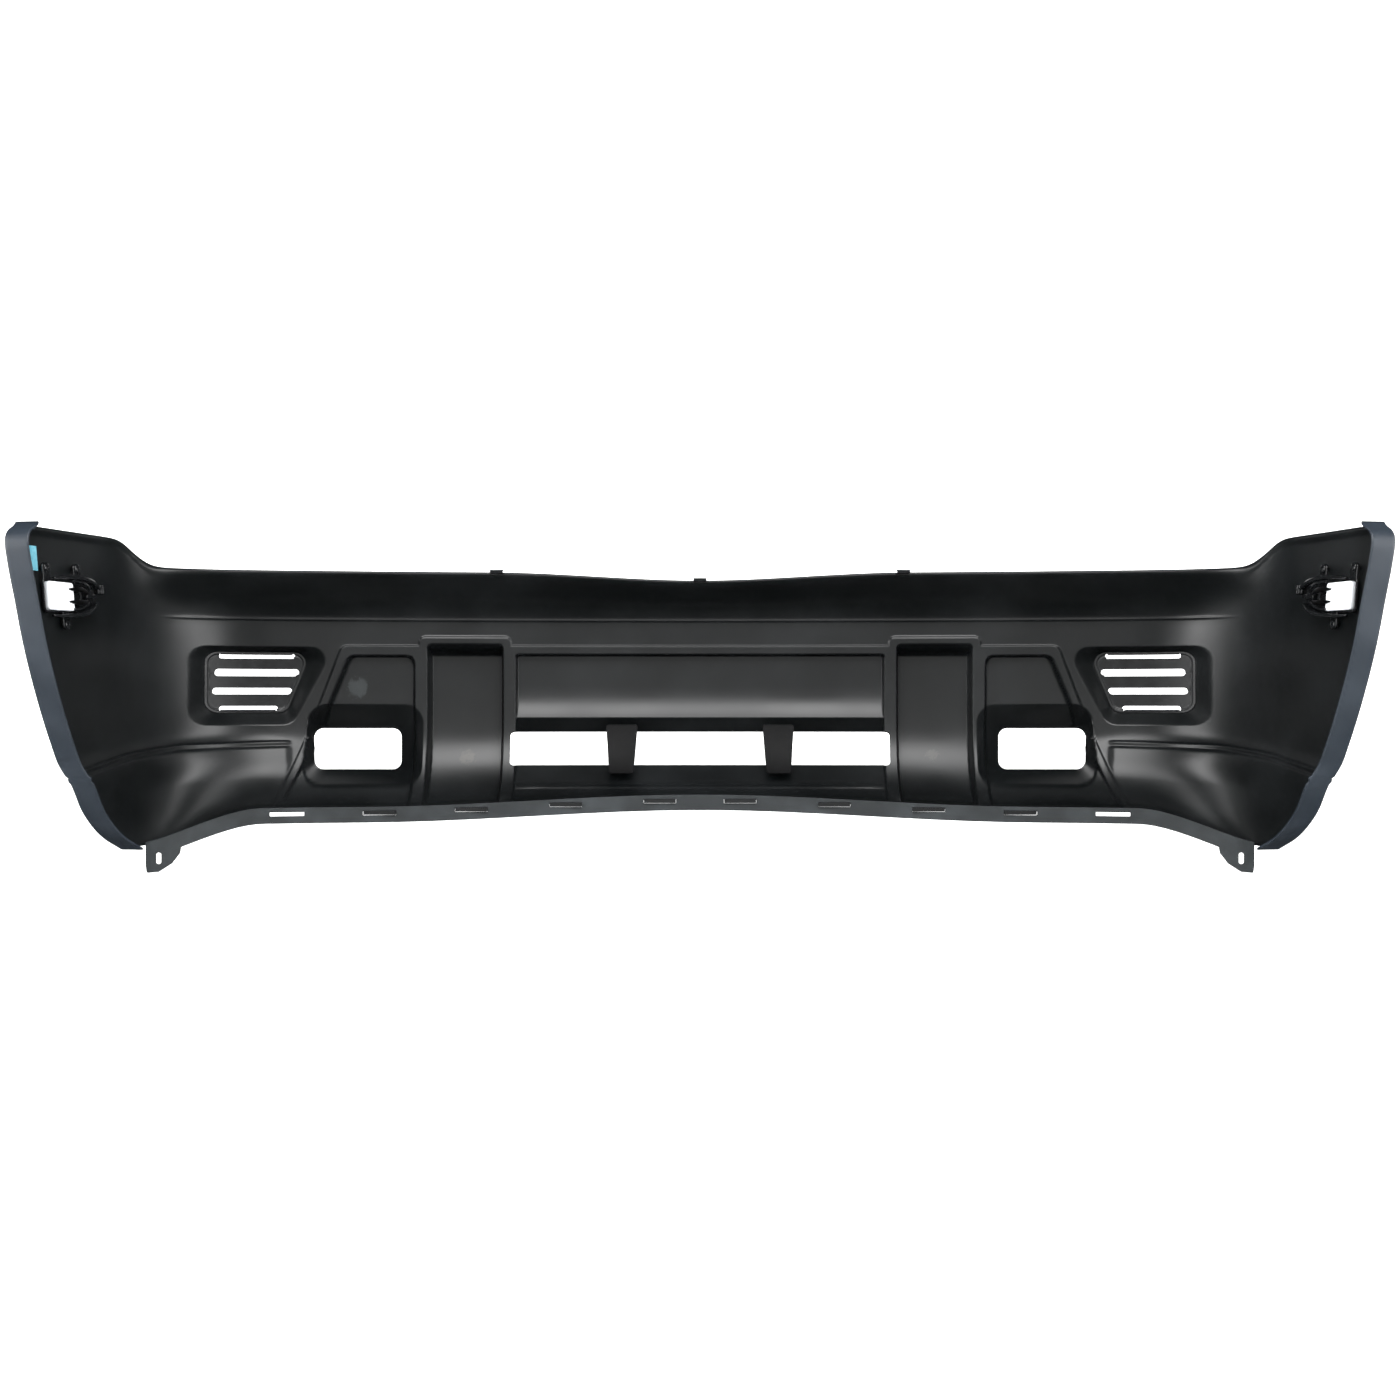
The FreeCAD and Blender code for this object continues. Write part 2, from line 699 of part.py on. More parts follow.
def rod(name, radius, height, x, y, z):
    obj = doc.addObject("Part::Cylinder", name)
    bound(obj, Radius=radius, Height=height)
    obj.setExpression(".Placement.Base.x", x)
    obj.setExpression(".Placement.Base.y", y)
    obj.setExpression(".Placement.Base.z", z)
    return obj


def joined(name, pieces):
    obj = doc.addObject("Part::MultiFuse", name)
    obj.Shapes = pieces
    return obj


def cut(name, base_obj, tool):
    obj = doc.addObject("Part::Cut", name)
    obj.Base = base_obj
    obj.Tool = tool
    return obj


boss_top = "%g mm" % BOSS
LENGTH = "dims.bracket_length * 1 mm"
TALL = "dims.bracket_height * 1 mm"
THICK = "dims.bracket_thick * 1 mm"
GUIDE = "dims.guide_thick * 1 mm"

plate = box("bracket_plate", "dims.bracket_length * 0.8 * 1 mm", TALL, THICK,
            "-dims.bracket_length * 0.5 * 1 mm", "-dims.bracket_height * 0.5 * 1 mm", boss_top)
nose = doc.addObject("Part::Wedge", "bracket_nose")
nose.setExpression("Xmin", "0 mm")
nose.setExpression("Xmax", "dims.bracket_height * 1 mm")
nose.setExpression("X2min", "dims.bracket_height * 0.36 * 1 mm")
nose.setExpression("X2max", "dims.bracket_height * 0.64 * 1 mm")
nose.setExpression("Ymin", "0 mm")
nose.setExpression("Ymax", "dims.bracket_length * 0.24 * 1 mm")
nose.setExpression("Zmin", "0 mm")
nose.setExpression("Zmax", THICK)
nose.setExpression("Z2min", "0 mm")
nose.setExpression("Z2max", THICK)
nose.Placement = Placement(
    Vector(0.3 * dim("bracket_length"), half_tall, BOSS), Rotation(Vector(0, 0, 1), -90.0))
ears = []
for index, (x, y) in enumerate(RIVETS):
    radius = dim("rivet_head") / 2.0 + 2.0
    ear = rod("bracket_ear_%d" % index, "dims.rivet_head * 0.5 * 1 mm + 2 mm", THICK,
              "%g mm" % x, "%g mm" % y, boss_top)
    web = box("bracket_web_%d" % index, "dims.rivet_head * 1 mm + 4 mm", "%g mm" % (abs(y) - half_tall + 2.0),
              THICK, "%g mm" % (x - radius), "%g mm" % (half_tall - 2.0 if y > 0 else y), boss_top)
    ears += [ear, web]
rails = []
for name, low in (("upper", 0.5), ("lower", -0.5)):
    offset = "dims.bracket_height * %g * 1 mm - %g mm" % (low, 4.0 if low > 0 else 0.0)
    rails.append(box("bracket_rail_" + name, "dims.bracket_length * 0.72 * 1 mm", "4 mm",
                     "dims.bracket_thick * 1 mm + 9 mm", "-dims.bracket_length * 0.45 * 1 mm", offset, boss_top))
body = joined("bracket_body", [plate, nose] + ears + rails)
pins = []
for index, (x, y) in enumerate(RIVETS):
    pins.append(rod("bracket_hole_%d" % index, "dims.rivet_shank * 0.5 * 1 mm", "20 mm",
                    "%g mm" % x, "%g mm" % y, "-5 mm"))
bracket = cut("side_bracket_left", body, joined("bracket_holes", pins))
bracket.Placement = wing_place
keep("side_bracket_left", bracket)
mirrored("side_bracket_right", bracket)

# The nylon guide is a padded sketch with a slot pocketed through its middle.
guide = doc.addObject("PartDesign::Body", "guide_body")
doc.recompute()


def rectangle(sketch, length, tall, x, y):
    """A rectangle whose length, height and corner follow rules on the sheet."""
    corners = [Vector(0, 0, 0), Vector(10, 0, 0), Vector(10, 10, 0), Vector(0, 10, 0)]
    first = sketch.GeometryCount
    for i in range(4):
        sketch.addGeometry(Part.LineSegment(corners[i], corners[(i + 1) % 4]), False)
    for i in range(4):
        sketch.addConstraint(Sketcher.Constraint("Coincident", first + i, 2, first + (i + 1) % 4, 1))
    for i in (0, 2):
        sketch.addConstraint(Sketcher.Constraint("Horizontal", first + i))
        sketch.addConstraint(Sketcher.Constraint("Vertical", first + i + 1))
    for kind, where, rule in (
        ("DistanceX", (first, 1, first, 2), length),
        ("DistanceY", (first + 1, 1, first + 1, 2), tall),
        ("DistanceX", (-1, 1, first, 1), x),
        ("DistanceY", (-1, 1, first, 1), y),
    ):
        number = sketch.addConstraint(Sketcher.Constraint(kind, *where, 5.0))
        sketch.setExpression("Constraints[%d]" % number, rule)


def plane(body_obj, role):
    return [f for f in body_obj.Origin.OriginFeatures if f.Role == role][0]


def sketch_on(body_obj, name, role):
    sketch = body_obj.newObject("Sketcher::SketchObject", name)
    sketch.AttachmentSupport = [(plane(body_obj, role), "")]
    sketch.MapMode = "FlatFace"
    return sketch


outline = sketch_on(guide, "guide_outline", "XY_Plane")
rectangle(outline, "dims.guide_length * 1 mm", "dims.guide_height * 1 mm",
          "-dims.guide_length * 1 mm", "-dims.guide_height * 0.5 * 1 mm")
pad = guide.newObject("PartDesign::Pad", "guide_pad")
pad.Profile = outline
pad.setExpression("Length", GUIDE)
doc.recompute()
mouth = sketch_on(guide, "guide_mouth", "XY_Plane")
rectangle(mouth, "dims.guide_length * 0.3 * 1 mm", "dims.guide_height * 0.36 * 1 mm",
          "-dims.guide_length * 0.92 * 1 mm", "-dims.guide_height * 0.18 * 1 mm")
slot = guide.newObject("PartDesign::Pocket", "guide_slot")
slot.Profile = mouth
slot.Type = "ThroughAll"
slot.Reversed = True
doc.recompute()
seat = wing_place.multiply(Placement(Vector(0.0, 0.0, BOSS + dim("bracket_thick")), Rotation()))
guide.Placement = seat
keep("fender_guide_left", guide)
mirrored("fender_guide_right", guide)

# The spring clip: a base with three prongs standing on the guide.
clip_base = box("clip_base", "dims.guide_length * 0.5 * 1 mm", "dims.guide_height * 0.7 * 1 mm", "2 mm",
                "-dims.guide_length * 0.55 * 1 mm", "-dims.guide_height * 0.35 * 1 mm", "0 mm")
prongs = [clip_base]
for index, share in enumerate((-0.35, -0.07, 0.21)):
    prongs.append(box("clip_prong_%d" % index, "dims.guide_length * 0.34 * 1 mm",
                      "dims.guide_height * 0.14 * 1 mm", "8 mm",
                      "-dims.guide_length * 0.47 * 1 mm", "dims.guide_height * %g * 1 mm" % share, "0 mm"))
spring = joined("spring_clip_left", prongs)
spring.Placement = wing_place.multiply(
    Placement(Vector(0.0, 0.0, BOSS + dim("bracket_thick") + dim("guide_thick")), Rotation()))
keep("spring_clip_left", spring)
mirrored("spring_clip_right", spring)

# Three rivets, each a domed head on a shank, as separate solids of one group.
heads = []
for index, (x, y) in enumerate(RIVETS):
    place_z = "%g mm + dims.bracket_thick * 1 mm" % BOSS
    head = rod("rivet_head_%d" % index, "dims.rivet_head * 0.5 * 1 mm", "2.6 mm",
               "%g mm" % x, "%g mm" % y, place_z)
    dome = doc.addObject("Part::Fillet", "rivet_dome_%d" % index)
    doc.recompute()
    dome.Base = head
    tops = [i + 1 for i, e in enumerate(head.Shape.Edges)
            if e.Closed and abs(e.BoundBox.ZMin - head.Shape.BoundBox.ZMax) < 0.01]
    dome.Edges = [(tops[0], 1.6, 1.6)]
    shank = rod("rivet_shank_%d" % index, "dims.rivet_shank * 0.5 * 1 mm",
                "dims.bracket_thick * 1 mm + %g mm" % (BOSS + 1.5), "%g mm" % x, "%g mm" % y, "-1 mm")
    heads.append(joined("rivet_%d" % index, [dome, shank]))
rivets = doc.addObject("Part::Compound", "bracket_rivets_left")
rivets.Links = heads
rivets.Placement = wing_place
keep("bracket_rivets_left", rivets)
mirrored("bracket_rivets_right", rivets)

# ---- clip nuts on the lugs ----
for name, place in zip(("top_clip_left", "top_clip_centre", "top_clip_right"), lug_places):
    reach = "dims.lug_reach * 0.84 * 1 mm"
    sheet_rule = "dims.clip_sheet * 1 mm"
    outer = box(name + "_outer", "dims.clip_width * 1 mm", reach + " + " + sheet_rule,
                "dims.wall * 1 mm + 2 * " + sheet_rule, "-dims.clip_width * 0.5 * 1 mm",
                "-dims.lug_reach * 0.5 * 1 mm - " + sheet_rule, "-" + sheet_rule)
    room = box(name + "_room", "dims.clip_width * 1 mm + 4 mm", reach + " + 10 mm", "dims.wall * 1 mm",
               "-dims.clip_width * 0.5 * 1 mm - 2 mm", "-dims.lug_reach * 0.5 * 1 mm", "0 mm")
    nut_hole = rod(name + "_hole", "dims.lug_hole * 0.5 * 1 mm + 0.6 mm", "20 mm", "0 mm", "0 mm", "-10 mm")
    clip = cut(name, cut(name + "_channel", outer, room), nut_hole)
    clip.Placement = Placement(place, Rotation())
    keep(name, clip)

# ---- a remnant of protective film on the left wing ----
film = Part.makeBox(30.0, 34.0, 0.9, Vector(-106.0, 34.0, -0.3))
film.Placement = wing_place
feature("protective_film", film.cut(skin))

doc.recompute()
for obj in doc.Objects:
    if "Invalid" in obj.State or "Error" in obj.State:
        raise RuntimeError("failed object: " + obj.Label)
for obj in parts:
    if obj.Shape.isNull() or not obj.Shape.isValid() or obj.Shape.Volume <= 0.0:
        raise RuntimeError("bad shape: " + obj.Label)
for obj in parts:
    print(obj.Label, len(obj.Shape.Solids), round(obj.Shape.Volume))
    obj.Shape.exportStep("parts/%s.step" % obj.Label)
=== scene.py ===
# %% [markdown]
# # A moulded bumper cover, seen from its inner side
# The cover is one thin injection-moulded shell with a grey strip, grille inserts, brackets and clips
# fitted to it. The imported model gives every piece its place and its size. This lesson gives each piece
# the smooth surface and the plastic finish of the real one.

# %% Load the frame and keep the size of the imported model
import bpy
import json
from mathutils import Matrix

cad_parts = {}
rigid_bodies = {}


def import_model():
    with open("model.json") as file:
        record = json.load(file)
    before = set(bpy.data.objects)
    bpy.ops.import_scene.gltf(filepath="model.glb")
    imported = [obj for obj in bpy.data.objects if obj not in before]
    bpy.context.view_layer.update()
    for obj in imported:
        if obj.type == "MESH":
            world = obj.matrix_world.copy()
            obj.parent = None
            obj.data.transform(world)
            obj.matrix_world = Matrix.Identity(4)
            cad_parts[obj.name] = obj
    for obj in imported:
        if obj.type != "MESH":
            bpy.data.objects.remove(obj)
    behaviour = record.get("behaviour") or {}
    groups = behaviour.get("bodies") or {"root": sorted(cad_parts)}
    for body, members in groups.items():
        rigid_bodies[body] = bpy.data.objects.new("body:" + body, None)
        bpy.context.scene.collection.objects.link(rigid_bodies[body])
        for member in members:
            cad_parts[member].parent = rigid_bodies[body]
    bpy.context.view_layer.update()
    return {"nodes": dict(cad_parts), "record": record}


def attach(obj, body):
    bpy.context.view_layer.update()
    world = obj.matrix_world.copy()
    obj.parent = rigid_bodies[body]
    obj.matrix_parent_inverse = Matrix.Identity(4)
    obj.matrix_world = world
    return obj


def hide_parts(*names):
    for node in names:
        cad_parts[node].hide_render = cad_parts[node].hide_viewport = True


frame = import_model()

import json
import math
import bpy
import numpy as np
from mathutils import Vector

print("nodes:", sorted(frame["nodes"]))

# %% [markdown]
# ## The camera
# It stands behind the cover, level with the middle of the panels, and looks forward. A lens of about
# 56 mm from 3.2 m gives the wings a little perspective, so that their rear edges look larger than
# the face.

# %% Camera
CAMERA_BACK = 3.2238
CAMERA_HEIGHT = 0.254
LENS = 56.5
camera_data = bpy.data.cameras.new("camera")
camera_data.lens = LENS
camera_data.sensor_width = 36.0
camera = bpy.data.objects.new("camera", camera_data)
camera.location = (0.0, -CAMERA_BACK, CAMERA_HEIGHT)
camera.rotation_euler = (math.radians(90.0), 0.0, 0.0)
bpy.context.collection.objects.link(camera)
bpy.context.scene.camera = camera
print("camera is", CAMERA_BACK, "m behind the middle of the cover")

# %% [markdown]
# ## The shape of the shell
# The plan of the cover is a wide arc, a tighter arc at each corner and a straight wing. Up the section
# it has a rolled lower edge, a nearly flat face and a shelf that slopes back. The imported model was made
# from the same rules, so the pieces that touch the shell still touch it here. All lengths are in
# millimetres until the mesh is made.

# %% Plan and section rules
MM = 0.001
WALL = 3.0
FRONT_RADIUS = 3150.0
FRONT_HALF = 637.0
CORNER_RADIUS = 300.0
WING_ANGLE = math.radians(77.5)
WING_RUN = 282.0
WING_TOP = 492.0
CROWN = 276.17
SHELF_FOOT, SHELF_BEND = 381.0, 407.0
ROLL_TOP = 235.0
FACE_ANGLE = math.asin(FRONT_HALF / FRONT_RADIUS)
FACE_RUN = FRONT_RADIUS * FACE_ANGLE
CORNER_RUN = CORNER_RADIUS * (WING_ANGLE - FACE_ANGLE)
HALF_RUN = FACE_RUN + CORNER_RUN + WING_RUN
WING_START = HALF_RUN - WING_RUN


def ease(value, low, high):
    """0 below low, 1 above high, smooth between."""
    part = np.clip((value - low) / (high - low), 0.0, 1.0)
    return part * part * (3.0 - 2.0 * part)


def plan(run):
    """Plan point and tangent angle at distances along the cover from its middle."""
    side = np.where(run < 0.0, -1.0, 1.0)
    away = np.abs(run)
    turn = np.minimum(away, FACE_RUN) / FRONT_RADIUS
    x = FRONT_RADIUS * np.sin(turn)
    y = CROWN - FRONT_RADIUS * (1.0 - np.cos(turn))
    corner = FACE_ANGLE + np.clip(away - FACE_RUN, 0.0, CORNER_RUN) / CORNER_RADIUS
    past = away > FACE_RUN
    x = x + np.where(past, CORNER_RADIUS * (np.sin(corner) - math.sin(FACE_ANGLE)), 0.0)
    y = y - np.where(past, CORNER_RADIUS * (math.cos(FACE_ANGLE) - np.cos(corner)), 0.0)
    turn = np.where(past, corner, turn)
    rest = np.maximum(0.0, away - FACE_RUN - CORNER_RUN)
    return side * (x + rest * np.cos(turn)), y - rest * np.sin(turn), side * turn


def top_edge(run):
    """Height of the top edge: a shallow dip at the middle and a high wing."""
    away = np.abs(run)
    hump = 441.0 + 12.0 * ease(away, 0.0, 330.0)
    return hump + (WING_TOP - hump) * ease(away, WING_START - 104.0, WING_START - 20.0)


def low_edge(run):
    """Height of the lower edge: bowed down towards the corners and lowest on the wings."""
    away = np.abs(run)
    return 104.0 - 17.0 * ease(away, 0.0, FACE_RUN - 121.0) - 46.0 * ease(away, FACE_RUN + 74.0, WING_START - 24.0)


def crease(run):
    """Height of the crease line, below which the corner and the wing step inward."""
    return 190.0 - 34.0 * ease(np.abs(run), FACE_RUN + 120.0, HALF_RUN)


def inset(run, z):
    """How far the inner surface stands inside the plan curve."""
    away = np.abs(run)
    wing = ease(away, FACE_RUN, WING_START + 20.0)
    low = low_edge(run)
    under = np.clip((ROLL_TOP - z) / (ROLL_TOP - low), 0.0, 1.0)
    roll = 105.0 * (1.0 - 0.67 * ease(away, 700.0, 1050.0)) * (1.0 - np.sqrt(1.0 - under * under))
    lip = top_edge(run)
    shelf = np.where(z < SHELF_FOOT, np.clip((z - 300.0) / 81.0, 0.0, 1.0) * 4.0,
                     4.0 + (z - SHELF_FOOT) / 26.0 * 10.0)
    shelf = np.where(z > SHELF_BEND, 14.0 + 46.0 * np.clip((z - SHELF_BEND) / (lip - 414.0), 0.0, 1.0), shelf)
    lean = 28.0 * (1.0 - np.maximum(0.0, (z - 40.0) / 450.0) ** 1.5)
    step = 6.0 * ease(crease(run) - z, -4.0, 10.0) * ease(away, FACE_RUN - 40.0, FACE_RUN + 40.0)
    return (1.0 - wing) * (shelf + roll) + wing * (lean + 0.25 * roll) + step


def arch_back(z):
    """How far the wheel-arch edge has moved forward at a height."""
    heights = [40.0, 47.0, 53.0, 61.0, 73.0, 86.0, 97.0, 109.0, 121.0, 132.0, 143.0, 154.0, 166.0, 199.0,
               232.0, 265.0, 297.0, 340.0, 390.0, 425.0, WING_TOP - 18.0, WING_TOP]
    moves = [252.0, 238.0, 212.0, 196.0, 175.0, 160.0, 150.0, 138.0, 129.0, 121.0, 113.0, 108.0, 102.0, 84.0,
             67.0, 53.0, 40.0, 27.0, 17.0, 8.0, 0.0, 31.0]
    return np.interp(z, heights, moves)


print("half of the cover is", round(HALF_RUN), "mm along its face")

# %% [markdown]
# A grid of control points every 30 mm or so carries a cubic spline surface. A spline passes close to its
# control points and rounds each bend of the section, much as a mould's cutter does.

# %% Control net and spline surface
LOW_SHARES = (0.0, 0.03, 0.10, 0.22, 0.42, 0.68, 0.9)
MID_SHARES = (0.1, 0.26, 0.5, 0.74, 0.9)
TOP_SHARES = (0.0, 0.2, 0.4, 0.62, 0.84, 0.93, 1.0)
COLUMNS = 84


def level(run, row):
    """Height of one row of the net at a distance along the cover."""
    low, line, foot = low_edge(run), crease(run), SHELF_FOOT
    if row < 7:
        return low + (line - 14.0 - low) * LOW_SHARES[row]
    if row < 9:
        return line + (-9.0, 4.0)[row - 7]
    if row < 14:
        return line + 4.0 + (foot - line - 4.0) * MID_SHARES[row - 9]
    return foot + (top_edge(run) - foot) * TOP_SHARES[row - 14]


def control_net():
    """Control points, each with its distance along the cover after and before the arch cut."""
    start = np.linspace(-1.0, 1.0, COLUMNS + 1) * HALF_RUN
    pull = ease(np.abs(start), 640.0, HALF_RUN) * np.sign(start)
    rows = []
    for row in range(21):
        arch_level = level(np.array([HALF_RUN]), row)
        run = start - arch_back(arch_level) * pull
        z = level(run, row)
        x, y, turn = plan(run)
        depth = inset(run, z)
        rows.append(np.stack([x - np.sin(turn) * depth, y - np.cos(turn) * depth, z, run, start], axis=-1))
    return np.stack(rows, axis=1)


def basis(count, places):
    """Weights of a clamped cubic spline's control points at places from 0 to its number of spans."""
    spans = count - 3
    knots = np.concatenate([[0.0] * 3, np.arange(spans + 1.0), [float(spans)] * 3])
    places = np.clip(places, 0.0, spans - 1e-9)
    weights = [((places >= knots[i]) & (places < knots[i + 1])).astype(float) for i in range(len(knots) - 1)]
    for degree in (1, 2, 3):
        lifted = []
        for i in range(len(weights) - 1):
            total = np.zeros_like(places)
            if knots[i + degree] > knots[i]:
                total += (places - knots[i]) / (knots[i + degree] - knots[i]) * weights[i]
            if knots[i + degree + 1] > knots[i + 1]:
                total += (knots[i + degree + 1] - places) / (knots[i + degree + 1] - knots[i + 1]) * weights[i + 1]
            lifted.append(total)
        weights = lifted
    return np.stack(weights, axis=-1)


NET = control_net()


def spline_points(across, upward):
    """Points of the inner surface on a grid of spline places."""
    sheet = np.einsum("ai,ijk->ajk", basis(COLUMNS + 1, across), NET)
    return np.einsum("bj,ajk->abk", basis(21, upward), sheet)


def spaced(stops):
    """Positions from (position, step) stops; each step holds until the next position."""
    places = []
    for (here, step), (there, _) in zip(stops, stops[1:]):
        count = max(1, round((there - here) / step))
        places += list(here + (there - here) * np.arange(count) / count)
    return np.array(places + [stops[-1][0]])


# Columns and rows lie closer together where an edge of a recess runs along them.
right_half = spaced([
    (0.0, 6.0), (286.0, 1.2), (322.0, 4.0), (420.0, 1.2), (454.0, 3.0), (545.0, 2.0), (660.0, 3.0), (750.0, 1.6),
    (784.0, 4.5), (930.0, 3.5), (HALF_RUN, 1.0)])
right_half = right_half
wanted_run = np.concatenate([-right_half[:0:-1], right_half])
fine_places = np.linspace(0.0, COLUMNS - 2.0, 4000)
ACROSS = np.interp(wanted_run, spline_points(fine_places, np.array([10.0]))[:, 0, 4], fine_places)
ACROSS[0], ACROSS[-1] = 0.0, COLUMNS - 2.0 - 1e-9
wanted_z = spaced([
    (low_edge(0.0), 1.5), (124.0, 3.0), (140.0, 1.5), (212.0, 1.3), (250.0, 4.0), (318.0, 1.2), (344.0, 2.0),
    (374.0, 1.0), (386.0, 4.0), (430.0, 2.0), (441.0, 1.0)])
wanted_z = wanted_z
fine_places = np.linspace(0.0, 18.0, 4000)
UPWARD = np.interp(wanted_z, spline_points(np.array([41.0]), fine_places)[0, :, 2], fine_places)
UPWARD[0], UPWARD[-1] = 0.0, 18.0 - 1e-9
base = spline_points(ACROSS, UPWARD)
print("shell grid:", base.shape[:2])

# %% [markdown]
# ## Recesses, openings and the raised band
# Pads, panels and lamp funnels are pressed into the shell along the direction in which the mould
# opens, which is forward. Each outline is a polygon with rounded corners, and its signed distance
# says how far a point lies inside it. A wall then starts and ends at chosen distances.

# %% Outlines as signed distances
def inside(core, radius, x, z):
    """Distance inside a convex outline: core corners (anticlockwise, in x and z) grown by a radius."""
    core = np.array(core, dtype=float)
    nearest = np.full(x.shape, 1e9)
    within = np.ones(x.shape, dtype=bool)
    for start, end in zip(core, np.roll(core, -1, axis=0)):
        edge = end - start
        ahead_x, ahead_z = x - start[0], z - start[1]
        share = np.clip((ahead_x * edge[0] + ahead_z * edge[1]) / (edge @ edge), 0.0, 1.0)
        gap = np.hypot(ahead_x - share * edge[0], ahead_z - share * edge[1])
        nearest = np.minimum(nearest, gap)
        within &= edge[0] * ahead_z - edge[1] * ahead_x >= 0.0
    return np.where(within, nearest, -nearest) + radius


def rectangle(x, z, width, height, radius):
    """Core corners of a rounded rectangle."""
    half_x, half_z = width / 2.0 - radius, height / 2.0 - radius
    return [(x - half_x, z - half_z), (x + half_x, z - half_z), (x + half_x, z + half_z), (x - half_x, z + half_z)]


def outline_rectangle(x_grid, z_grid, x, z, width, height, radius):
    return inside(rectangle(x, z, width, height, radius), radius, x_grid, z_grid)


# %% [markdown]
# The measured places of the features: two vertical pads, a middle panel, two lamp panels with their
# funnels, two vents and the long intake.

# %% Feature places and sizes
PAD_X, PAD_WIDTH, PAD_TOP, PAD_DEPTH = 371.0, 118.0, 342.0, 33.0
PANEL_HALF, PANEL_TOP, PANEL_DEPTH = 292.0, 326.0, 12.0
INTAKE_HALF, INTAKE_TOP, INTAKE_FOOT = 300.0, 203.0, 151.0
LAMP_X, LAMP_Z, LAMP_WIDTH, LAMP_HEIGHT, LAMP_PLANE = 543.5, 176.5, 138.0, 65.0, 271.0
BAND_PROUD, BAND_TOP = 3.2, 340.0
FRONT_LIMIT = 293.5
BELLY_START, BELLY_FOOT, BELLY_RISE, BELLY_SLOPE, BELLY_END = 275.0, 226.0, 12.0, 0.74, -5.0
VENT_DEPTH = 17.0


def lamp_panel(x, z):
    return inside([(464.0, 70.0), (638.0, 70.0), (541.0, 310.0), (464.0, 310.0)], 14.0, x, z)


def lamp_mouth(x, z):
    return inside([(466.0, 149.0), (588.0, 149.0), (584.0, 217.0), (466.0, 217.0)], 30.0, x, z)


def lamp_hole(x, z):
    return outline_rectangle(x, z, LAMP_X, LAMP_Z, LAMP_WIDTH, LAMP_HEIGHT, 14.0)


def pad(x, z):
    return outline_rectangle(x, z, PAD_X, (PAD_TOP + 60.0) / 2.0, PAD_WIDTH, PAD_TOP - 60.0, 7.0)


def panel(x, z):
    return outline_rectangle(x, z, 0.0, (PANEL_TOP + 60.0) / 2.0, 2.0 * PANEL_HALF, PANEL_TOP - 60.0, 4.0)


def vent_mouth(x, z):
    return inside([(650.0, 237.0), (757.0, 237.0), (757.0, 315.0), (608.5, 315.0)], 22.0, x, z)


def vent_floor(x, z):
    return inside([(660.0, 252.0), (745.0, 252.0), (745.0, 311.0), (637.0, 311.0)], 18.0, x, z)


def intake(x, z):
    middle = (INTAKE_TOP + INTAKE_FOOT) / 2.0
    return outline_rectangle(x, z, 0.0, middle, 2.0 * INTAKE_HALF, INTAKE_TOP - INTAKE_FOOT, 6.0)


def middle_section(x, z):
    """Distance inside the outer edge of the raised band, with x taken as positive."""
    slanted = inside([(-640.0, 70.0), (648.0, 70.0), (552.0, BAND_TOP - 14.0), (-552.0, BAND_TOP - 14.0)],
                     14.0, x, z)
    frame_of_pad = outline_rectangle(x, z, PAD_X, 226.0, 144.0, 256.0, 10.0)
    return np.maximum(slanted, frame_of_pad)


print("features on each half: pad, lamp panel, lamp funnel, vent; in the middle: panel, intake")

# %% [markdown]
# Every feature adds a forward move to the points of the surface. The moves use an eased step, because a
# moulded wall always has a small fillet at its top and its foot.

# %% Forward moves
def funnel(mouth, hole):
    """0 outside the mouth, 1 inside the hole and a straight wall between, with a small fillet at each end."""
    share = np.clip(mouth / np.maximum(mouth - hole, 1e-6), 0.0, 1.0)
    share = np.where(mouth > 0.0, share, 0.0)
    share = np.where(hole > 0.0, 1.0, share)
    return 0.2 * ease(share, 0.0, 1.0) + 0.8 * share


def forward_moves(points):
    """New y for every point, from the features of its place. Walls lean by 2 to 5 mm, as a mould needs."""
    x, y, z = np.abs(points[..., 0]), points[..., 1], points[..., 2]
    above = ease(z - points[:, :1, 2], 0.5, 5.0)
    move = -BAND_PROUD * ease(middle_section(x, z), -1.0, 1.0)
    rooms = np.maximum.reduce([lamp_panel(x, z), pad(x, z), panel(x, z)])
    move = move + BAND_PROUD * ease(rooms, -1.0, 1.0)
    deep = np.minimum(PAD_DEPTH * ease(pad(x, z), 0.0, 4.5), PAD_DEPTH * ease(PAD_TOP - z, 0.0, 19.0) + 0.5)
    move = move + np.where(pad(x, z) > 0.0, deep, 0.0)
    swell = np.clip((BELLY_START - z) / (BELLY_START - BELLY_FOOT), 0.0, 1.0) ** 2 * BELLY_RISE
    belly = np.where(z > BELLY_FOOT, swell, BELLY_RISE - BELLY_SLOPE * (BELLY_FOOT - z))
    belly = np.maximum(belly, BELLY_END) * ease(panel(x, z), 0.0, 2.2)
    move = move + PANEL_DEPTH * ease(panel(x, z), 0.0, 2.2) * (1.0 - 0.6 * ease(z, 190.0, 130.0))
    move = move - np.where(z > INTAKE_TOP, belly, belly * ease(z, 120.0, 160.0))
    move = move + PANEL_DEPTH * ease(lamp_panel(x, z), 0.0, 2.2)
    rib = np.exp(-((z - 118.0) / 1.8) ** 2) * 2.2 * ease(PAD_X - 70.0 - x, 0.0, 10.0)
    moved = y + (move - rib) * above
    share = funnel(lamp_mouth(x, z), lamp_hole(x, z)) * above
    moved = moved * (1.0 - share) + np.maximum(moved, LAMP_PLANE) * share
    moved = moved + VENT_DEPTH * funnel(vent_mouth(x, z), vent_floor(x, z))
    return np.minimum(moved, FRONT_LIMIT)


